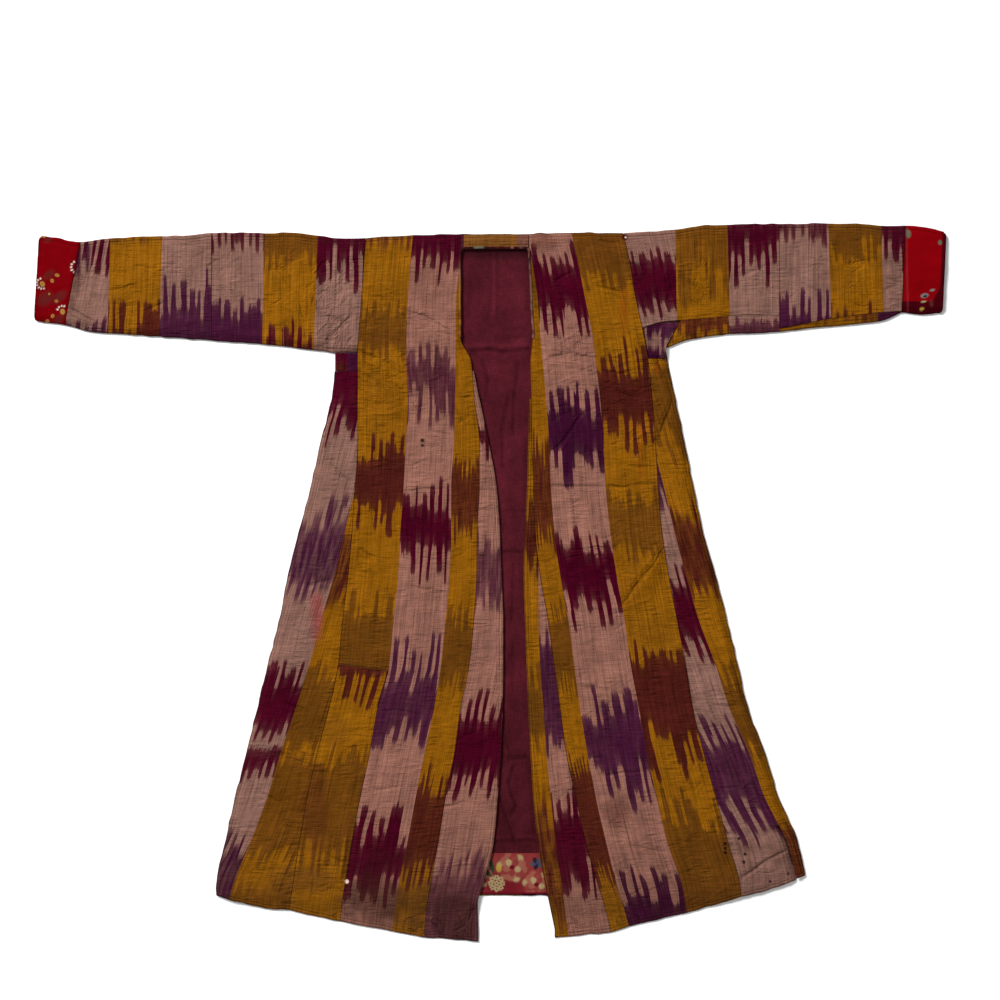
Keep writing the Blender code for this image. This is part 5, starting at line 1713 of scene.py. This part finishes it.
def dress_neck_binding():
    """A narrow bound edge that wraps the neck hole's rim."""
    path_x, path_drop, out_x, out_drop = neck_path()
    stray = 0.7 * noise(path_x + path_drop, path_drop, 16.0, 40.0, 61)
    faces = []
    for reach, height in (np.transpose(BINDING_OUTER), np.transpose(BINDING_INNER)):
        faces.append((path_x + out_x * (reach + stray), path_drop + out_drop * (reach + stray), height))
    x, drop, _ = faces[0]
    resting = np.max(FRONT_BASE + relief(x, drop), axis=1, keepdims=True) + WALL + GAP
    surfaces = [place(x_of, drop_of, resting + height) for x_of, drop_of, height in faces]
    shares = np.linspace(0.0, 1.0, len(BINDING_OUTER)) + 0.0 * x
    length = 2.0 * (BINDING_END - NECK_DROP) + NECK_RIGHT - NECK_LEFT
    dress("neck_binding", "binding", {"x": x}, surfaces, painted(binding_paint(x, drop, shares)),
          (BINDING_CUT * MM, length * MM), area=BINDING_CUT * length * MM * MM)


# ---- what shows in the opening --------------------
LINING_TUCK = 13.0
LINING_CELL = 3.2
FACING_CELL = 1.2


def opening_grid(start, end, cell):
    """Points across the opening, tucked under both fronts."""
    drop = np.linspace(start, end, int((end - start) / cell) + 1)[:, None]
    left = line_x("open_l", drop) - LINING_TUCK
    right = line_x("open_r", drop) + LINING_TUCK
    x = mix(left, right, np.linspace(0.0, 1.0, int(130.0 / cell))[None, :])
    inside = np.minimum(x - left, right - x) - LINING_TUCK - SHOWN_INSET
    return {"x": x, "drop": drop + 0.0 * x, "inside": inside}


def dress_sheet(name, slot_name, grid, raised, paint, flat):
    """A thin sheet lying on the back. raised is its height over lying flat."""
    raised = np.clip(raised + 0.7, -1.2, 3.2) * smooth(grid["inside"] / 7.0)
    upper = EDGE_BASE + LINING_WALL + raised
    lower = np.minimum(upper - 0.2, np.maximum(1.7, upper - 0.8))
    surfaces = [place(grid["x"], grid["drop"], height) for height in (upper, lower)]
    dress(name, slot_name, grid, surfaces, painted(paint), flat)


def dress_lining():
    """The back's lining, where it shows between the fronts."""
    grid = opening_grid(NECK_DROP - NECK_TUCK, LINING_END, LINING_CELL)
    x, drop = grid["x"], grid["drop"]
    creases = ridges(x, drop, LINING_CREASES, np.add)
    raised = ridges(x, drop, LINING_FOLDS, np.maximum) + creases
    raised = raised + 1.0 * crumple(x + 300.0, drop) + 0.7 * noise(x, drop, 22.0, 150.0, 71)
    cloth = Print(x, drop, "maroon")
    x, drop = cloth.x, cloth.drop
    shade = 0.5 + 0.5 * noise(x, drop, 22.0, 90.0, 72) + 0.12 * noise(x, drop, 8.0, 30.0, 73)
    lower = smooth((drop - 500.0) / 500.0)
    cloth.lay("maroon_deep", np.clip(0.5 * shade + 0.5 * lower, 0.0, 1.0))
    # Painted shade in the lining's crease troughs and painted highlight on its ridges.
    cloth.paint = cloth.paint * (1.0 + 0.22 * np.clip(creases, -1.5, 1.0).ravel())[:, None]
    # Painted shadow: the lining darkens just under the neck's binding.
    neck_shadow = 1.0 - smooth((drop - NECK_DROP - 8.0) / 20.0)
    cloth.lay("hole_and_shadow", 0.55 * neck_shadow)
    dress_sheet("lining_back", "lining", grid, raised, cloth.paint, (0.151, 1.1))


def dress_facing():
    """The printed facing at the back's hem."""
    grid = opening_grid(LINING_END + GAP, FACING_END, FACING_CELL)
    paint = floral_print(grid["x"], grid["drop"])
    raised = 0.5 * crumple(grid["x"] + 500.0, grid["drop"])
    dress_sheet("hem_facing", "floral_print", grid, raised, paint, (0.15, 0.0745))


# ---- prints --------------------
class Print:
    """Paint at each of a piece's points, for motifs to be laid on."""

    def __init__(self, x, drop, ground):
        self.x = x.ravel()
        self.drop = drop.ravel()
        self.paint = np.broadcast_to(linear(ground), (self.x.size, 3))

    def lay(self, dye, share):
        """Cover each point with its share of a dye."""
        self.paint = mix(self.paint, linear(dye), share[:, None])

    def blot(self, at, radii, turn, dye, share=1.0, soft=0.25):
        """Lay a soft-edged ellipse of dye."""
        angle = math.radians(turn)
        from_x = self.x - at[0]
        from_drop = self.drop - at[1]
        along = (from_x * math.cos(angle) + from_drop * math.sin(angle)) / radii[0]
        across = (from_drop * math.cos(angle) - from_x * math.sin(angle)) / radii[1]
        self.lay(dye, share * (1.0 - smooth((np.hypot(along, across) - 1.0 + soft) / (2.0 * soft))))

    def dotted(self, at, radii, turn, dye):
        """A small blot with a dark outline."""
        self.blot(at, (radii[0] + 1.2, radii[1] + 1.2), turn, "wine", 0.7)
        self.blot(at, radii, turn, dye)

    def fan(self, at, facing, size, first, last):
        """A gold leaf with white petals round it from one angle to another."""
        if facing is not None:
            leaf = polar(at, 0.12 * size, facing)
            self.dotted(leaf, (0.52 * size, 0.42 * size), facing, "gold")
            self.blot(leaf, (0.26 * size, 0.20 * size), facing, "rust", 0.6, 0.5)
        for angle in np.arange(first, last, 30.0):
            self.dotted(polar(at, size, angle), (0.21 * size, 0.15 * size), angle, "white")

    def petals(self, at, size, count, start, dyes):
        """A ring of petals."""
        for k in range(count):
            angle = start + 360.0 * k / count
            middle = polar(at, 0.55 * size, angle)
            self.blot(middle, (0.52 * size, 0.36 * size), angle, dyes[k % len(dyes)], 0.92, 0.2)

    def rose(self, at, size):
        """A full-blown rose: rings of petals round a dark heart."""
        self.petals(at, size, 6, 10.0, ("blush", "cream"))
        self.petals(at, 0.92 * size, 6, 40.0, ("coral", "blush"))
        self.petals(at, 0.60 * size, 5, 20.0, ("cream", "coral", "blush"))
        self.blot(at, (0.2 * size, 0.16 * size), 0.0, "crimson")


def polar(at, reach, angle):
    """The place at a reach and angle from another."""
    turn = math.radians(angle)
    return at[0] + reach * math.cos(turn), at[1] + reach * math.sin(turn)


LEFT_FADED = (((-797, 76), (11, 6)), ((-803, 120), (15, 11)), ((-777, 116), (14, 8)),
              ((-798, 12), (8, 5)), ((-780, 158), (12, 7)))
LEFT_FANS = (
    # x, drop, facing, size, first and last petal's angle
    (-809,  92,   58, 9.5,  70, 260), (-772, 142,   75, 9.5, 200, 320),
    (-746,  62, None, 10.5, 118, 245),
)
LEFT_DOTS = (
    # x, drop, half its length and width, turn
    (-782,  77, 4.6, 3.4,  20), (-791,  87, 4.2, 3.4,  60), (-796, 111, 2.8, 2.0,  50),
    (-783, 124, 3.4, 3.0,  30), (-790, 151, 3.2, 4.2,  20), (-800, 160, 4.0, 2.8,   0),
    (-806,   7, 4.6, 2.6,   0),
)


RIGHT_FLECKS = (
    ((755, 2), (5, 8), "sage"), ((813, 18), (3.6, 4.4), "sage"), ((785, 114), (7, 4), "grey"),
    ((786, 115), (4, 2), "navy"), ((799, 104), (4.6, 2.0), "grey"), ((783, 125), (5, 1.8), "cream"),
    ((780, 138), (4.0, 3.0), "yellow"), ((797, 128), (3.5, 7), "faded"),
)
ROSES = (((40, 1147), 26.0), ((84, 1178), 24.0), ((-18, 1160), 22.0))


def left_print(x, drop):
    """Red, with dotted fans, gold dots and faded patches."""
    cloth = Print(x, drop, "red_worn")
    for at, radii in LEFT_FADED:
        cloth.blot(at, radii, -40.0, "faded", 0.7, 0.5)
    for at_x, at_drop, *look in LEFT_FANS:
        cloth.fan((at_x, at_drop), *look)
    for at_x, at_drop, half_length, half_width, turn in LEFT_DOTS:
        cloth.dotted((at_x, at_drop), (0.86 * half_length, 0.82 * half_width), turn, "gold")
        cloth.blot((at_x, at_drop), (0.4 * half_length, 0.36 * half_width), turn, "rust")
    return cloth.paint


def right_print(x, drop):
    """Bright red, with a dark border at the wrist and along the bottom, and a few flecks."""
    cloth = Print(x, drop, "red")
    edge = 820.0 - 0.04 * cloth.drop - 12.0 * smooth((cloth.drop - 95.0) / 30.0)
    border = np.maximum(smooth((cloth.x - edge + 4.0) / 3.0), smooth((cloth.drop - 123.0) / 2.5))
    cloth.lay("wine", border)
    for at, radii, dye in RIGHT_FLECKS:
        cloth.blot(at, radii, -10.0, dye)
    cloth.lay("bleed", 0.35 * np.exp(-((cloth.x - 752.0 - 0.02 * cloth.drop) / 1.3) ** 2))
    return cloth.paint


def floral_print(x, drop):
    """Coral cotton with roses, a cluster of small white flowers and a blue one."""
    cloth = Print(x, drop, "coral")
    cloth.blot((20, 1180), (46, 22), 12.0, "crimson", 0.8, 0.6)
    for at, size in ROSES:
        cloth.rose(at, size)
    cloth.petals((84, 1140), 11.0, 5, 30.0, ("slate", "navy"))
    cloth.blot((4, 1146), (12, 4), 80.0, "leaf")
    cloth.blot((-6, 1156), (12, 4), 40.0, "leaf")
    cloth.blot((16, 1148), (5, 8), 0.0, "yellow", 0.8)
    for k in range(9):
        at = polar((12, 1176), 0.0 if k == 0 else 10.5, 45.0 * k)
        cloth.petals(at, 5.2, 5, 14.0 * k, ("cream",))
        cloth.blot(at, (1.5, 1.5), 0.0, "navy", 0.8)
    cloth.lay("crimson", smooth((cloth.drop - FACING_END + 4.0) / 2.0))
    return cloth.paint


# ---- the studio --------------------
VIEW_WIDTH = 1809.2     # width of the picture on the floor, mm
VIEW_CENTRE = (17.6, 148.9)
LENS = 85.0
SENSOR = 36.0
KEY_POWER = 2700.0
FILL_POWER = 60.0
WORLD_LIGHT = 0.38
FLOOR_HALF = 8.0        # metres from the floor's middle to its edges
FLOOR_DROP = 0.0002     # how far the floor lies under the robe, in metres
FLOOR_GREY = (0.89, 0.89, 0.89)


def shown(made, at=(0.0, 0.0, 0.0)):
    """Put a thing of the studio in the scene."""
    made.location = at
    bpy.context.scene.collection.objects.link(made)
    return made


def make_floor():
    """A plain pale floor."""
    mesh = bpy.data.meshes.new("floor")
    turns = ((-1, -1), (1, -1), (1, 1), (-1, 1))
    corners = [(a * FLOOR_HALF, b * FLOOR_HALF, -FLOOR_DROP) for a, b in turns]
    mesh.from_pydata(corners, [], [(0, 1, 2, 3)])
    shader = Nodes("pale_floor")
    x, y, _ = shader.here()
    fine = shader.noise((x, y, 0.0), 0.004, 0.004)
    colour = shader.scale(FLOOR_GREY, fine.spread(0.99, 1.01))
    mesh.materials.append(shader.finish(colour, 0.9, 0.1))
    shown(bpy.data.objects.new("floor", mesh))


def area_light(name, at, size, power):
    """A soft light that faces the robe's middle."""
    lamp = bpy.data.lights.new(name, "AREA")
    lamp.shape = "SQUARE"
    lamp.size = size
    lamp.energy = power
    holder = shown(bpy.data.objects.new(name, lamp), at)
    holder.rotation_euler = Vector(at).to_track_quat("Z", "Y").to_euler()


def make_studio():
    """The floor, two soft lights and an even white sky."""
    make_floor()
    area_light("key_light", (-6.6, 7.2, 7.0), 4.0, KEY_POWER)
    area_light("fill_light", (3.5, -3.0, 6.0), 5.0, FILL_POWER)
    scene = bpy.context.scene
    scene.world = bpy.data.worlds.new("studio")
    scene.world.use_nodes = True
    backdrop = scene.world.node_tree.nodes["Background"]
    backdrop.inputs["Color"].default_value = (1.0, 1.0, 1.0, 1.0)
    backdrop.inputs["Strength"].default_value = WORLD_LIGHT
    scene.view_settings.view_transform = "Standard"
    scene.view_settings.look = "None"


def make_camera():
    """A camera straight over the robe, with the photo's framing."""
    lens = bpy.data.cameras.new("camera")
    lens.lens = LENS
    lens.sensor_width = SENSOR
    lens.clip_end = 50.0
    over = VIEW_WIDTH * LENS / SENSOR
    at = (VIEW_CENTRE[0] * MM, VIEW_CENTRE[1] * MM, over * MM)
    bpy.context.scene.camera = shown(bpy.data.objects.new("camera", lens), at)


# ---- everything --------------------
MATERIALS = materials()
dress_bodies()
dress_backs()
dress_sleeves()
dress_underarms()
dress_gusset_left()
dress_neck_turn()
dress_neck_binding()
dress_lining()
dress_facing()
make_studio()
make_camera()
